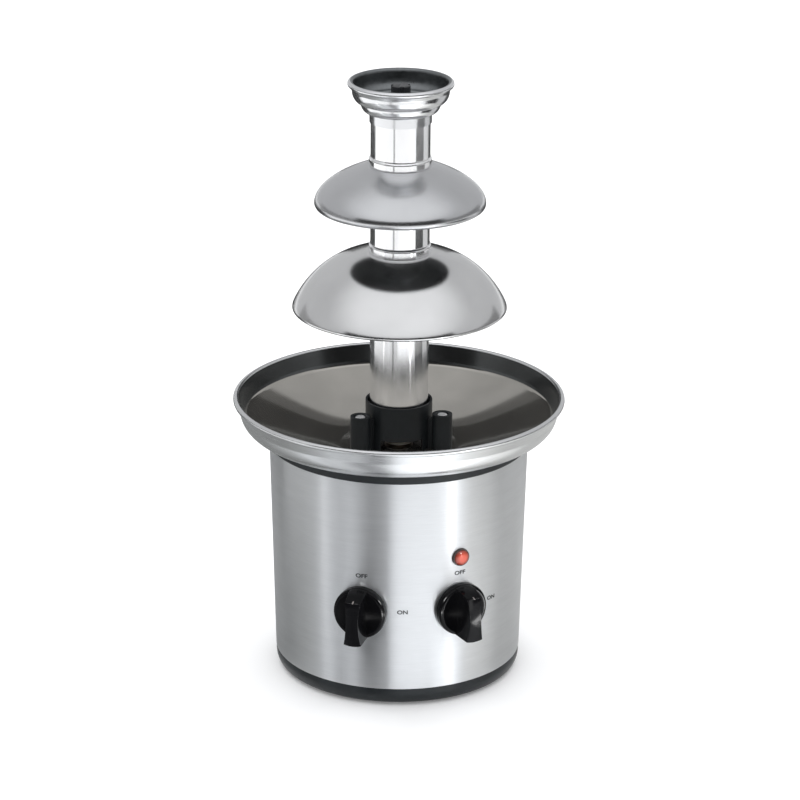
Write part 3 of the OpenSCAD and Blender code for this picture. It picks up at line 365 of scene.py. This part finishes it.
LAMP = plastic("lamp_plastic", (0.80, 0.78, 0.72), 0.4)
HEATER = metal("heater_metal", (0.62, 0.63, 0.64), 0.35, 500.0, bevel=0.3)
SHEATH = metal("heater_sheath", (0.28, 0.26, 0.25), 0.5, 600.0)
CERAMIC = plastic("sensor_ceramic", (0.78, 0.75, 0.67), 0.3)
FUSE = metal("fuse_can", (0.74, 0.75, 0.76), 0.28, 800.0)
INK = print_ink()
# Dark steel for the undersides of the domes: painted shade, the same steel as their tops
TIER_INSIDE_SHADE = metal("tier_inside_painted_shade", (0.09, 0.093, 0.096), 0.45, 300.0)
# Dark steel for the crown's inside: painted shade, the same steel as its outside
CROWN_INSIDE_SHADE = metal("crown_inside_painted_shade", (0.20, 0.21, 0.215), 0.34, 300.0)
POINTER = plastic("pointer_paint", (0.22, 0.20, 0.19), 0.4)

NODE_MATERIALS = {
    "rubber_feet": RUBBER, "bottom_plate": PLATE, "base_screws": FASTENER, "locating_pins": PIN,
    "pin_nuts": FASTENER, "heater_plate": HEATER, "heater_element": SHEATH, "thermostat": CERAMIC,
    "thermal_fuse": FUSE, "shaft_bush": BRONZE, "bush_nut": BRASS, "shaft_seal": SILICONE,
    "motor_bracket": PLATE, "bracket_screws": FASTENER, "gearbox_cover": CASTING, "gearbox_case": CASTING,
    "gearbox_screws": FASTENER, "idler_pin": SHAFT, "stator_stack": STACK, "stator_coil": COIL,
    "motor_bridge": PLATE, "motor_spacers": FASTENER, "motor_screws": FASTENER, "motor_switch": SWITCH,
    "heat_switch": SWITCH, "switch_nuts": FASTENER, "pilot_bezel": BEZEL, "pilot_lens": LENS,
    "pilot_body": LAMP, "pilot_clip": FASTENER, "cord_gland": BLACK, "gland_nut": BLACK,
    "terminal_block": BLOCK, "rotor": STACK, "motor_pinion": BRASS, "idler_gear": NYLON,
    "output_gear": NYLON, "drive_shaft": SHAFT, "drive_dog": SHAFT, "motor_spindle": SHAFT,
    "heat_spindle": SHAFT, "auger": AUGER, "tower_base": BLACK, "motor_knob": KNOB, "heat_knob": KNOB,
    "base_ring": RING_BLACK, "top_ring": RING_BLACK, "housing_shell": DRUM, "bowl": BOWL_OUT,
    "lower_tier": SATIN, "upper_tier": SATIN_SHADED_UPPER, "lower_tube": DRAWN, "middle_tube": DRAWN,
    "upper_tube": DRAWN, "crown": CROWN,
}
for name, material in NODE_MATERIALS.items():
    for slot in nodes[name].material_slots:
        slot.material = material


# Outlines and turned pieces

def arc(x, z, r, start, end, steps):
    """Points of a circle's arc, by its start and end in degrees."""
    turns = [math.radians(start + (end - start) * i / steps) for i in range(steps + 1)]
    return [(x + r * math.cos(turn), z + r * math.sin(turn)) for turn in turns]


def quarter(x, z, a, b, steps=24):
    """Points of a quarter ellipse from (x + a, z) to (x, z + b)."""
    return [(x + a * math.cos(math.pi / 2 * i / steps), z + b * math.sin(math.pi / 2 * i / steps))
            for i in range(steps + 1)]


def bend(a, b, c, shares):
    """Points of a curve from a to c that leaves toward b, at shares of its run."""
    return [tuple((1 - t) ** 2 * a + 2 * t * (1 - t) * b + t * t * c) for t in shares]


def rounded(points, radius):
    """Rounds the corners of a closed outline. A point may give its own radius as a third number."""
    steps, straight = 4, math.radians(170)
    out = []
    count = len(points)
    for i in range(count):
        p, a, b = (Vector(points[k % count][:2]) for k in (i, i - 1, i + 1))
        r = points[i][2] if len(points[i]) > 2 else radius
        u, v = a - p, b - p
        turn = u.angle(v)
        if r <= 0 or turn > straight:
            out.append(tuple(p))
            continue
        reach = min(r / math.tan(turn / 2), 0.49 * u.length, 0.49 * v.length)
        start, end = p + u.normalized() * reach, p + v.normalized() * reach
        out += bend(start, p, end, [k / steps for k in range(steps + 1)])
    return out


def make(name, bm, body, materials, replaces=(), sharp=38, lone_face=False):
    """Makes a mesh a piece that rides on a body. Edges that turn by more than sharp degrees stay sharp. Faces
    are made to look one way, apart from a lone face, which keeps the way that it was made."""
    mesh = bpy.data.meshes.new(name)
    if not lone_face:
        bmesh.ops.recalc_face_normals(bm, faces=bm.faces)
    bm.to_mesh(mesh)
    bm.free()
    for material in materials:
        mesh.materials.append(material)
    mesh.polygons.foreach_set("use_smooth", [True] * len(mesh.polygons))
    mesh.set_sharp_from_angle(angle=math.radians(sharp))
    obj = bpy.data.objects.new(name, mesh)
    bpy.context.scene.collection.objects.link(obj)
    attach(obj, body)
    if replaces:
        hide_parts(*replaces)
    return obj


def supported(outline, zone):
    """Stretches of a closed outline as (start, material). A long one is split near its ends, so that the
    rounding beside it doesn't bend its shading."""
    long_stretch, margin, share = 1.5, 0.3, 0.2
    for i, start in enumerate(outline):
        a, b = Vector(start), Vector(outline[(i + 1) % len(outline)])
        length = (b - a).length
        cuts = [0.0]
        if length > long_stretch:
            near = min(margin, share * length) / length
            cuts += [near, 1 - near]
        for cut in cuts:
            yield tuple(a.lerp(b, cut)), zone(i)


def lathe(outline, segments=240, zone=lambda i: 0):
    """A closed outline of (radius, height), turned round the Z axis. zone gives a material's number by the
    number of a stretch of the outline."""
    bm = bmesh.new()
    stretches = list(supported(outline, zone))
    turns = [2 * math.pi * k / segments for k in range(segments)]
    rings = [[bm.verts.new(round_spot(turn, r * MM, z * MM)) for turn in turns] for (r, z), _ in stretches]
    for i, (_, material) in enumerate(stretches):
        a, b = rings[i], rings[(i + 1) % len(rings)]
        for k in range(segments):
            f = bm.faces.new((a[k], a[(k + 1) % segments], b[(k + 1) % segments], b[k]))
            f.material_index = material
    return bm


def between(first, last):
    """A zone whose stretches from first up to last take the second material."""
    return lambda i: 1 if first <= i < last else 0


# Base ring
base_ring = rounded([(73.3, 1.6), *reversed(quarter(76.3, 9.16, 4.0, -7.56)), (80.3, 12.3), (79.6, 12.4),
                     (79.6, 19.4), (76.6, 19.4), (76.6, 8.1), (64.3, 8.1), (64.3, 3.1), (73.3, 3.1)], 0.3)
make("base_ring_moulding", lathe(base_ring), "base", [RING_BLACK], ["base_ring"])


# Bowl: satin outside, dark coat inside from the crest of the rim bead, darker on the wall than on the floor
# as painted shade
BOWL_HOLE_R = 6.9
BOWL_FLOOR_Z = 152.0


def bowl_floor():
    """Floor from the crease at the wall's foot down to the flat middle, as one hollow curve."""
    steps = 40
    low, high, hollow = Vector((38.0, BOWL_FLOOR_Z)), Vector((98.4, 171.5)), 1.35
    run, rise = high - low
    shares = [1 - i / steps for i in range(steps + 1)]
    return [(low.x + run * t, low.y + rise * t ** hollow) for t in shares]


bowl_outer = [(BOWL_HOLE_R, 150.4), (40.2, 150.4), (60.7, 156.1), (81.2, 161.8),
              *reversed(quarter(85.2, 175.6, 17.9, -13.8)), *arc(105.7, 183.6, 1.8, -60, 168, 20)]
bowl_wall = [(103.1, 181.6), (101.6, 177.2), (100.7, 174.6), (100.0, 173.0), (99.3, 172.1)]
bowl_outline = [*bowl_outer, *bowl_wall, *bowl_floor(), (BOWL_HOLE_R, BOWL_FLOOR_Z)]


def bowl_zone(i):
    """Material by stretch: outside up to the bead's crest and at the hole's edge, then wall with painted
    shade, then floor.
    """
    crest, crease = len(bowl_outer) - 2, len(bowl_outer) + 3
    if i < crest or i == len(bowl_outline) - 1:
        return 0
    return 1 if i < crease else 2


make("bowl_dish", lathe(bowl_outline, 288, bowl_zone), "base", [BOWL_OUT, BOWL_WALL_SHADE, BOWL_FLOOR], ["bowl"])


# Tower: domes, tubes with sockets, and crown
def dome_z(r, rim, rise, power_in, power_out):
    """Height of a dome at a radius, by the powers that set how flat its middle and how steep its side is."""
    return rise * max(0.0, 1 - (r / rim) ** power_in) ** (1 / power_out)


def dome_curve(start, end, rim, rise, power_in, power_out):
    """Points of a dome from a start radius to an end radius, closer together toward the rim."""
    steps = 56
    radii = [start + (end - start) * math.sin(math.pi / 2 * i / steps) for i in range(steps + 1)]
    return [(r, dome_z(r, rim, rise, power_in, power_out)) for r in radii]


def dome(name, rim, reach, height, z_neck, power_in, power_out, lip, body, node, steel):
    """A dome: flat neck, outside that would run on to a reach, edge turned down to the rim, rolled lip of a
    height, and an inside darkened as painted shade."""
    hole, shoulder, wall, edge = 19.1, 22.0, 1.0, 1.2
    rise = height / dome_z(shoulder, reach, 1.0, power_in, power_out)
    last = reach * (1 - (edge / rise) ** power_out) ** (1 / power_in)
    outside = dome_curve(shoulder, last, reach, rise, power_in, power_out)
    inside = dome_curve(shoulder, rim - wall, rim - wall, rise - wall, power_in, power_out)
    turned_down = bend(Vector(outside[-1]), Vector((rim, edge / 2)), Vector((rim, 0.0)),
                       (0.17, 0.33, 0.5, 0.67, 0.83, 1.0))
    roll = quarter(rim - lip, 0.0, lip, -lip, 10)[1:]
    under = [(rim - lip - 0.5, 0.2 - lip), (rim - lip - 0.6, 0.6 - lip)]
    front = [(hole, height), (20.6, height - 0.02), *outside, *turned_down, *roll]
    outline = [*front, *under, *reversed(inside), (hole, inside[0][1])]
    z_rim = z_neck - height
    make(name, lathe([(r, z_rim + z) for r, z in outline], 288, between(len(front), len(outline) - 1)), body,
         [steel, TIER_INSIDE_SHADE], [node], 60)


dome("lower_dome", 69.0, 69.15, 37.0, LOWER_NECK_Z, 2.9, 1.2, 1.2, "tower", "lower_tier", SATIN)
dome("upper_dome", 54.8, 54.8, 24.8, UPPER_NECK_Z, 1.24, 1.89, 2.8, "tower_mid", "upper_tier", SATIN_SHADED_UPPER)


def plain_tube(z_foot, z_end):
    """A straight tube with softened ends."""
    return rounded([(TUBE_BORE_R, z_foot), (TUBE_R, z_foot), (TUBE_R, z_end), (TUBE_BORE_R, z_end)], 0.2)


def socket_tube(z_foot, z_end):
    """A tube whose foot is widened to a socket, with a rounded shoulder above it."""
    z = z_foot + 5.6
    bore, out = TUBE_R + 0.3, TUBE_R + 1.0
    return rounded([(bore, z_foot), (out, z_foot), (out, z - 1.4, 0.0), (out - 0.15, z - 0.75, 0.0),
                    (out - 0.5, z - 0.2, 0.0), (TUBE_R + 0.12, z + 0.05, 0.0), (TUBE_R, z + 0.5, 0.0),
                    (TUBE_R, z_end), (TUBE_BORE_R, z_end), (TUBE_BORE_R, z - 0.9), (bore, z - 0.9)], 0.15)


for name, outline, body, node in (
        ("lower_pipe", plain_tube(164.0, 287.1), "tower", "lower_tube"),
        ("middle_pipe", socket_tube(LOWER_NECK_Z, 344.4), "tower_mid", "middle_tube"),
        ("upper_pipe", socket_tube(UPPER_NECK_Z, 375.4), "tower_top", "upper_tube")):
    make(name, lathe(outline, 192), body, [DRAWN], [node])

crown_outer = [(19.8, 368.4), *reversed(quarter(19.8, 381.0, 5.7, -6.6, 16)),
               *reversed(quarter(25.5, 389.0, 5.5, -8.0, 18)), *arc(31.9, 393.1, 1.9, -80, 150, 18)]
crown_outline = [*crown_outer, (30.0, 392.6), *quarter(25.5, 389.0, 4.5, -7.0, 18),
                 *quarter(19.8, 381.0, 4.7, -5.6, 16), (19.1, 375.4), (19.1, 368.4)]
# The crown's inside, from the top of its bead, takes the darker steel as painted shade
crown_shaded_inside = between(len(crown_outer) - 6, len(crown_outline) - 2)
make("crown_cup", lathe(crown_outline, 224, crown_shaded_inside), "tower_top", [CROWN, CROWN_INSIDE_SHADE], ["crown"],
     50)


# Auger: hub with a hexagonal socket, core, flight and finger knob
def stack(bm, rings, closed=False):
    """Skins rings of points, one on the next. An open stack is capped at both ends."""
    rings = [[bm.verts.new(Vector(point) * MM) for point in ring] for ring in rings]
    count = len(rings[0])
    for a, b in zip(rings, rings[1:] + rings[:1] if closed else rings[1:]):
        for k in range(count):
            bm.faces.new((a[k], a[(k + 1) % count], b[(k + 1) % count], b[k]))
    if not closed:
        bm.faces.new(rings[0])
        bm.faces.new(rings[-1])


def spoke(angle, r):
    """A flat vector of a length, at an angle from the X axis in degrees."""
    return r * Vector((math.cos(math.radians(angle)), math.sin(math.radians(angle))))


def round_ring(r, z):
    """A ring of points at a radius, or at a radius that depends on the angle in degrees."""
    count = 72
    angles = [360 * k / count for k in range(count)]
    return [(*spoke(angle, r(angle) if callable(r) else r), z) for angle in angles]


def hex_socket(angle):
    """Reach of the hub's hexagonal socket."""
    return 5.8 / math.cos(math.radians(angle % 60 - 30))


def auger_flight():
    """Sections of the flight, from its foot up the turns."""
    steps, turns, z_foot, pitch = 96, 6, 175.3, 33.2833
    section = ((5.3, 0.0), (16.9, 0.39), (17.2, 0.65), (17.2, 1.35), (16.9, 1.61), (5.3, 2.0))
    return [[(*spoke(360 * i / steps, r), z_foot + pitch * i / steps + z) for r, z in section]
            for i in range(steps * turns + 1)]


def finger_outline():
    """A round knob with four grooves."""
    knob_r, groove_r = 6.25, 1.56
    groove = [Vector((knob_r, 0)) + spoke(-angle, groove_r) for angle in range(98, 263, 12)]
    land = [spoke(angle, knob_r) for angle in range(15, 76, 6)]
    return [Matrix.Rotation(math.radians(turn), 2) @ v for turn in (0, 90, 180, 270) for v in groove + land]


def auger_screw():
    """Hub, core, flight and finger knob as one piece."""
    hub_r, core_r = 8.95, 5.5
    z_foot, z_socket, z_hub, z_finger, z_top = 157.1, 171.8, 176.8, 378.0, 392.0
    hub = ((hex_socket, z_foot), (hub_r - 0.2, z_foot), (hub_r, z_foot + 0.2), (hub_r, z_hub - 0.4),
           (hub_r - 0.4, z_hub), (0.2, z_hub), (0.2, z_socket), (hex_socket, z_socket))
    core = ((core_r, 174.0), (core_r, 174.3), (core_r, z_finger - 1.4), (core_r, z_finger - 1.1),
            (core_r + 0.3, z_finger - 1.0), (core_r + 0.7, z_finger + 0.1))
    finger = ((1, z_finger), (1, z_finger + 0.3), (1, z_top - 0.8), (1, z_top - 0.5), (0.97, z_top - 0.15),
              (0.93, z_top))
    bm = bmesh.new()
    stack(bm, [round_ring(r, z) for r, z in hub], closed=True)
    stack(bm, [round_ring(r, z) for r, z in core])
    stack(bm, auger_flight())
    stack(bm, [[(*(v * scale), z) for v in finger_outline()] for scale, z in finger])
    make("auger_screw", bm, "auger", [AUGER], ["auger"], 35)


auger_screw()

# Knobs, by sizes across, up and out from the foot: a dished disc and a waisted bar with softened edges
DISC_R = 17.2
DISC_H = 5.6
DISC_EDGE_R = 2.2
BAR_REACH = 16.9
BAR_CREST = 21.0
BAR_LOW = 2.9
SLOPE_START = Vector((0.0, 12.0, BAR_CREST))
SLOPE_FALL = Vector((0.0, 5.2, -15.4))
SLOPE_RIDGE = 12.706


def bar_top(y):
    """Height of the bar: a rounded crest, cut off by the sloped upper end."""
    crest_r, crest_drop = 60.0, 3.0
    crest = BAR_CREST - crest_r + math.sqrt(crest_r ** 2 - (y + crest_drop) ** 2)
    return min(crest, SLOPE_START.z + SLOPE_FALL.z / SLOPE_FALL.y * (y - SLOPE_START.y))


def bar_plan():
    """Half-widths of the bar by their height on the knob, from the lower end to the upper: waisted sides
    between round ends."""
    waist, waist_r, end_angle, end_steps = 4.0, 75.0, 19.75, 3
    end = [BAR_REACH * spoke(end_angle * k / end_steps, 1.0).yx for k in range(end_steps + 1)]
    heights = (-14, -12, -9.5, -7, -4.5, -2, 0.5, 3, 5.5, 8, 10.2, SLOPE_RIDGE, 14.3)
    side = [(waist + waist_r - math.sqrt(waist_r ** 2 - y * y), y) for y in heights]
    return [(w, -y) for w, y in end] + side + end[::-1]


def grip_bar():
    """The bar of a knob, skinned over its plan, with its crisp edges softened."""
    bm = bmesh.new()
    rows = []
    for w, y in bar_plan():
        spots = [(-w, y, BAR_LOW), (-w, y, bar_top(y)), (w, y, bar_top(y)), (w, y, BAR_LOW)]
        verts = [bm.verts.new(Vector(spot) * MM) for spot in (spots if w > 0 else spots[:2])]
        rows.append(verts if w > 0 else verts + verts[::-1])
    for a, b in zip(rows, rows[1:]):
        for k in range(4):
            corners = list(dict.fromkeys((a[k], a[(k + 1) % 4], b[(k + 1) % 4], b[k])))
            if len(corners) > 2:
                bm.faces.new(corners)
    bmesh.ops.recalc_face_normals(bm, faces=bm.faces)
    crisp, softened = math.radians(28), 0.75
    edges = [e for e in bm.edges if e.is_manifold and e.calc_face_angle() > crisp
             and max(v.co.z for v in e.verts) > (BAR_LOW + 0.1) * MM]
    bmesh.ops.bevel(bm, geom=edges, offset=softened * MM, segments=4, profile=0.5, affect="EDGES",
                    clamp_overlap=True)
    return bm


def knob_disc():
    """A disc with a recess underneath, a round edge and a dished face."""
    recess_r, recess_h, dish, step = 8.9, 2.5, 2.0, 0.74
    face_r = DISC_R - DISC_EDGE_R
    shares = [1 - step * i / face_r for i in range(1, 20)]
    face = [(face_r * t, DISC_H - dish * (1 - t ** 2)) for t in shares]
    edge = arc(face_r, DISC_H - DISC_EDGE_R, DISC_EDGE_R, 0, 90, 10)
    return lathe([(recess_r, 0.0), (DISC_R - 0.2, 0.0), (DISC_R, 0.25), *edge, *face, (0.9, recess_h),
                  (recess_r, recess_h)], 160)


def knob_place(angle):
    """Turns sizes across, up and out from a knob's foot into the frame."""
    a = math.radians(angle)
    across, up = Vector((math.cos(a), math.sin(a), 0)), Vector((0, 0, 1))
    out = Vector(round_spot(a, 1.0, 0.0))
    foot = (out * KNOB_FOOT + up * KNOB_Z) * MM
    return Matrix.Translation(foot) @ Matrix((across, up, out)).transposed().to_4x4()


def knob(word, angle):
    """A knob's disc and bar as one piece."""
    bm = knob_disc()
    bar = bpy.data.meshes.new("bar")
    grip_bar().to_mesh(bar)
    bm.from_mesh(bar)
    bpy.data.meshes.remove(bar)
    bm.transform(knob_place(angle))
    return make(word + "_knob_moulding", bm, word + "_control", [KNOB], [word + "_knob"], 50)


def pointer(name, angle, body):
    """A pale mark on the sloped upper end of a knob's bar."""
    half, start, end, lift = 0.45, 0.10, 0.27, 0.06
    out = Vector((0.0, -SLOPE_FALL.z, SLOPE_FALL.y)).normalized() * lift
    bm = bmesh.new()
    corners = []
    for x, run in ((-half, start), (half, start), (half, end), (-half, end)):
        spot = Vector((x, 0, 0)) + SLOPE_START + SLOPE_FALL * run + out
        corners.append(bm.verts.new(spot * MM))
    bm.faces.new(corners)
    bm.transform(knob_place(angle))
    make(name, bm, body, [POINTER], lone_face=True)


# Words on the drum
def label(name, words, angle, z):
    """Printed words, wrapped round the drum."""
    height, widen, capital_share, boldness, film = 2.6, 1.2, 0.7, 0.045, 0.05
    curve = bpy.data.curves.new(name, "FONT")
    curve.body = words
    curve.size = height / capital_share
    curve.offset = boldness * height
    curve.align_x = curve.align_y = "CENTER"
    flat = bpy.data.objects.new(name + "_flat", curve)
    bpy.context.scene.collection.objects.link(flat)
    bpy.context.view_layer.update()
    mesh = bpy.data.meshes.new_from_object(flat.evaluated_get(bpy.context.evaluated_depsgraph_get()))
    bpy.data.objects.remove(flat)
    bm = bmesh.new()
    bm.from_mesh(mesh)
    for v in bm.verts:
        v.co = wall_point(angle + math.degrees(widen * v.co.x / shell_r(z)), z + v.co.y, film)
    make(name, bm, "base", [INK])


OFF_RISE = 24.0
ON_TURN = 18.5
knobs = []
for side, word in ((-1, "motor"), (1, "heat")):
    knobs.append(knob(word, side * KNOB_ANGLE))
    label(word + "_off", "OFF", side * KNOB_ANGLE, KNOB_Z + OFF_RISE)
    label(word + "_on", "ON", side * KNOB_ANGLE + ON_TURN, KNOB_Z)
    pointer(word + "_pointer", side * KNOB_ANGLE, word + "_control")


# Stage, in metres, with angles in degrees from the camera
CAMERA_AZIMUTH = math.radians(-6.2)


def around(turn, far, high):
    """A spot at an angle from the camera."""
    return round_spot(math.radians(turn) + CAMERA_AZIMUTH, far, high)


def card(name, corners, shade, glow=0.0, faces=None):
    """A plain card of the stage, of a grey or a colour."""
    mesh = bpy.data.meshes.new(name)
    mesh.from_pydata(corners, [], faces or [range(len(corners))])
    color = shade if isinstance(shade, tuple) else (shade, shade, shade)
    s = Shader(name, color, 0.0, 0.9)
    s.set("Specular IOR Level", 0.0)
    s.set("Emission Color", (*color, 1))
    s.set("Emission Strength", glow)
    mesh.materials.append(s.mat)
    obj = bpy.data.objects.new(name, mesh)
    bpy.context.scene.collection.objects.link(obj)
    return obj


def reflected_card(*values):
    """A card that shows only in the metal, as flags and reflectors do in a studio."""
    obj = card(*values)
    obj.visible_camera = False
    obj.visible_diffuse = False
    obj.visible_shadow = False
    obj.visible_transmission = False
    obj.visible_volume_scatter = False


def backdrop(name, start, end, distance, low, high, shade):
    """An upright flag that curves round the object between two angles."""
    steps = 24
    turns = [start + (end - start) * i / steps for i in range(steps + 1)]
    for i, (a, b) in enumerate(zip(turns, turns[1:])):
        corners = [around(a, distance, low), around(b, distance, low), around(b, distance, high),
                   around(a, distance, high)]
        reflected_card("%s_%d" % (name, i), corners, shade)


def sector(name, start, end, near, far, shade):
    """A piece of a ring on the floor, between two angles."""
    steps, lift = 12, 0.003
    turns = [start + (end - start) * i / steps for i in range(steps + 1)]
    rim = [around(turn, near, lift) for turn in turns] + [around(turn, far, lift) for turn in turns[::-1]]
    reflected_card(name, rim, shade)


def mirrored(turn, run, z):
    """The spot at a run along the ray that the drum mirrors at an angle."""
    drum_r = 0.086
    out, ray = around(turn, drum_r, z), around(2 * turn, run, 0.0)
    return out[0] + ray[0], out[1] + ray[1], z


def drum_band(name, start, end, shade, glow):
    """A strip of floor with an upturned end that the drum mirrors between two of its own angles. Its edges
    follow the mirrored rays, so the band stands upright on the drum."""
    steps, near, far, lift, upturn = 8, 0.004, 0.43, 0.002, 0.055
    turns = [start + (end - start) * i / steps for i in range(steps + 1)]
    rows = ((near, lift), (far, lift), (far, upturn))
    spots = [mirrored(turn, run, z) for run, z in rows for turn in turns]
    row = steps + 1
    faces = [(k + i, k + i + 1, k + row + i + 1, k + row + i) for k in (0, row) for i in range(steps)]
    reflected_card(name, spots, shade, glow, faces)


def shine(name, start, end, glow):
    """A small bright upright strip that sharpens a band."""
    run, low, high, shade = 0.30, 0.03, 0.20, 0.9
    corners = ((start, low), (end, low), (end, high), (start, high))
    reflected_card(name, [mirrored(turn, run, z) for turn, z in corners], shade, glow)


card("floor", [(-9, -9, 0), (9, -9, 0), (9, 9, 0), (-9, 9, 0)], 0.86, 0.15)

# Bands that the drum mirrors, each by its start and shade, in groups with a green, blue or warm tone
WHITEST = 0.9  # a shade past it glows
GLOW_GAIN = 1.1
BANDS_END = 90
BANDS = (
    ((0.98, 1.0, 0.985), ((-90, 0.22), (-64.5, 0.22), (-55.5, 0.30), (-46.5, 0.39))),
    ((0.98, 1.0, 1.02), ((-40.5, 0.46), (-37.5, 0.70), (-31, 0.50), (-25.5, 0.65), (-19.5, 0.40),
                         (-16.5, 0.24), (-8.5, 0.32), (-4, 1.0), (-1, 1.33), (5.5, 1.40), (18, 1.6),
                         (27, 1.75), (29.5, 1.25))),
    ((1.0, 1.0, 0.975), ((32, 0.92), (38.5, 0.78), (46.5, 0.62), (51.5, 0.46))),
)
bands = [(tone, start, shade) for tone, group in BANDS for start, shade in group]
band_ends = [start for _, start, _ in bands[1:]] + [BANDS_END]
for i, ((tone, start, shade), end) in enumerate(zip(bands, band_ends)):
    color = tuple(min(shade, WHITEST) * part for part in tone)
    drum_band("drum_band_%d" % i, start, end, color, max(0.0, shade / WHITEST - 1) * GLOW_GAIN)

# Dark edges that the tubes mirror from further out, and bright strips for two of the bands
for i, (start, end, shade) in enumerate((
        (-185, -112, 0.04), (-27, -21, 0.30), (62, 100, 0.03), (100, 134, 0.45), (134, 175, 0.05))):
    sector("tube_edge_%d" % i, start, end, 0.54, 1.6, shade)
shine("shine_right", 22.5, 25.5, 3.0)
shine("shine_left", -35.0, -33.5, 1.2)

# Flags: a dark room in front and at the sides, and a narrow one behind that darkens the near half of the bowl
backdrop("dark_front", -60, 60, 2.6, 0.0, 1.35, 0.03)
backdrop("dark_left", -130, -60, 2.6, 0.0, 0.75, 0.28)
backdrop("dark_right", 60, 130, 2.6, 0.0, 0.75, 0.22)
backdrop("dark_back", 164, 196, 0.24, 0.17, 0.295, 0.02)
backdrop("dim_back", 164, 196, 0.24, 0.295, 0.325, 0.15)

# Dim floor that the domes mirror from behind
for i, (start, end) in enumerate(((120, 178), (182, 240))):
    sector("dome_edge_%d" % i, start, end, 1.62, 2.6, 0.25)


# Light
def studio(back_light, front_light, rise):
    """A studio sky that brightens smoothly toward the upper front, at an angle of rise above the table."""
    fade_from, fade_to = 0.35, 0.95
    world = bpy.data.worlds.new("studio")
    bpy.context.scene.world = world
    world.use_nodes = True
    tree = world.node_tree
    sky = tree.nodes.new("ShaderNodeVectorMath")
    sky.operation = "DOT_PRODUCT"
    sky.inputs[1].default_value = around(0, math.cos(math.radians(rise)), math.sin(math.radians(rise)))
    tree.links.new(tree.nodes.new("ShaderNodeTexCoord").outputs["Generated"], sky.inputs[0])
    fade = tree.nodes.new("ShaderNodeMapRange")
    fade.interpolation_type = "SMOOTHSTEP"
    for i, value in ((1, fade_from), (2, fade_to), (3, back_light), (4, front_light)):
        fade.inputs[i].default_value = value
    tree.links.new(sky.outputs["Value"], fade.inputs["Value"])
    background = tree.nodes["Background"]
    background.inputs["Color"].default_value = (0.97, 0.98, 1.0, 1)
    tree.links.new(fade.outputs["Result"], background.inputs["Strength"])


def area_light(name, at, aim, size, power):
    """A rectangular light, aimed at a spot."""
    light = bpy.data.lights.new(name, "AREA")
    light.shape = "RECTANGLE"
    light.size, light.size_y = size
    light.energy = power
    obj = bpy.data.objects.new(name, light)
    bpy.context.scene.collection.objects.link(obj)
    obj.location = at
    obj.rotation_mode = "QUATERNION"
    obj.rotation_quaternion = (Vector(aim) - Vector(at)).to_track_quat("-Z", "Y")
    return obj


def highlight(name, objects, at, aim, size, power):
    """A small light that reaches only some objects, for a sharp highlight on them."""
    group = bpy.data.collections.new("lit_by_" + name)
    for obj in objects:
        group.objects.link(obj)
    light = area_light(name, at, aim, size, power)
    light.light_linking.receiver_collection = group
    light.visible_camera = False


studio(0.64, 1.1, 62)
floor_light = area_light("floor_light", (0, 0.8, 2.6), (0, 0.8, 0), (4, 4), 75)
floor_light.visible_glossy = False

KNOBS_MIDDLE = (0, -0.09, 0.075)
LAMP_MIDDLE = (0.03, -0.08, 0.10)
highlight("knob_left", knobs, around(-33, 0.6, 0.42), KNOBS_MIDDLE, (0.20, 0.16), 6.0)
highlight("knob_right", knobs, around(57, 0.6, 0.34), KNOBS_MIDDLE, (0.20, 0.16), 6.0)
for name, x, y, size, power in (
        ("knob_front", -0.0105, -0.27, 0.10, 2.4), ("knob_side", 0.211, -0.142, 0.14, 1.6)):
    highlight(name, knobs, (x, y, 0.002), (x, y, 1), (size, size), power)
lamp = [nodes["pilot_lens"], nodes["pilot_bezel"]]
highlight("lamp", lamp, around(40, 0.6, 0.32), LAMP_MIDDLE, (0.14, 0.10), 1.0)

# Camera, at the photograph's angle
CAMERA_FAR = 2.12924
CAMERA_HIGH = 0.94992
CAMERA_PITCH = 0.34641
CAMERA_YAW = 0.00033
CAMERA_ROLL = 0.006426
SENSOR = 36
FOCAL_PIXELS = 3487.1
IMAGE_PIXELS = 800


def turned(a, b, angle):
    """Two axes turned in their own plane, the first toward the second."""
    return a * math.cos(angle) + b * math.sin(angle), b * math.cos(angle) - a * math.sin(angle)


camera = bpy.data.objects.new("camera", bpy.data.cameras.new("camera"))
bpy.context.scene.collection.objects.link(camera)
bpy.context.scene.camera = camera
camera.data.sensor_width = SENSOR
camera.data.lens = SENSOR * FOCAL_PIXELS / IMAGE_PIXELS
camera.location = around(0, CAMERA_FAR, CAMERA_HIGH)
ahead = -Vector(around(0, 1.0, 0.0))
right, up = Vector((ahead.y, -ahead.x, 0)), Vector((0, 0, 1))
ahead, right = turned(ahead, right, CAMERA_YAW)
up, ahead = turned(up, ahead, CAMERA_PITCH)
right, up = turned(right, up, CAMERA_ROLL)
camera.rotation_mode = "QUATERNION"
camera.rotation_quaternion = Matrix((right, up, -ahead)).transposed().to_quaternion()

scene = bpy.context.scene
scene.view_settings.view_transform = "Standard"
scene.view_settings.look = "None"

bpy.context.view_layer.update()
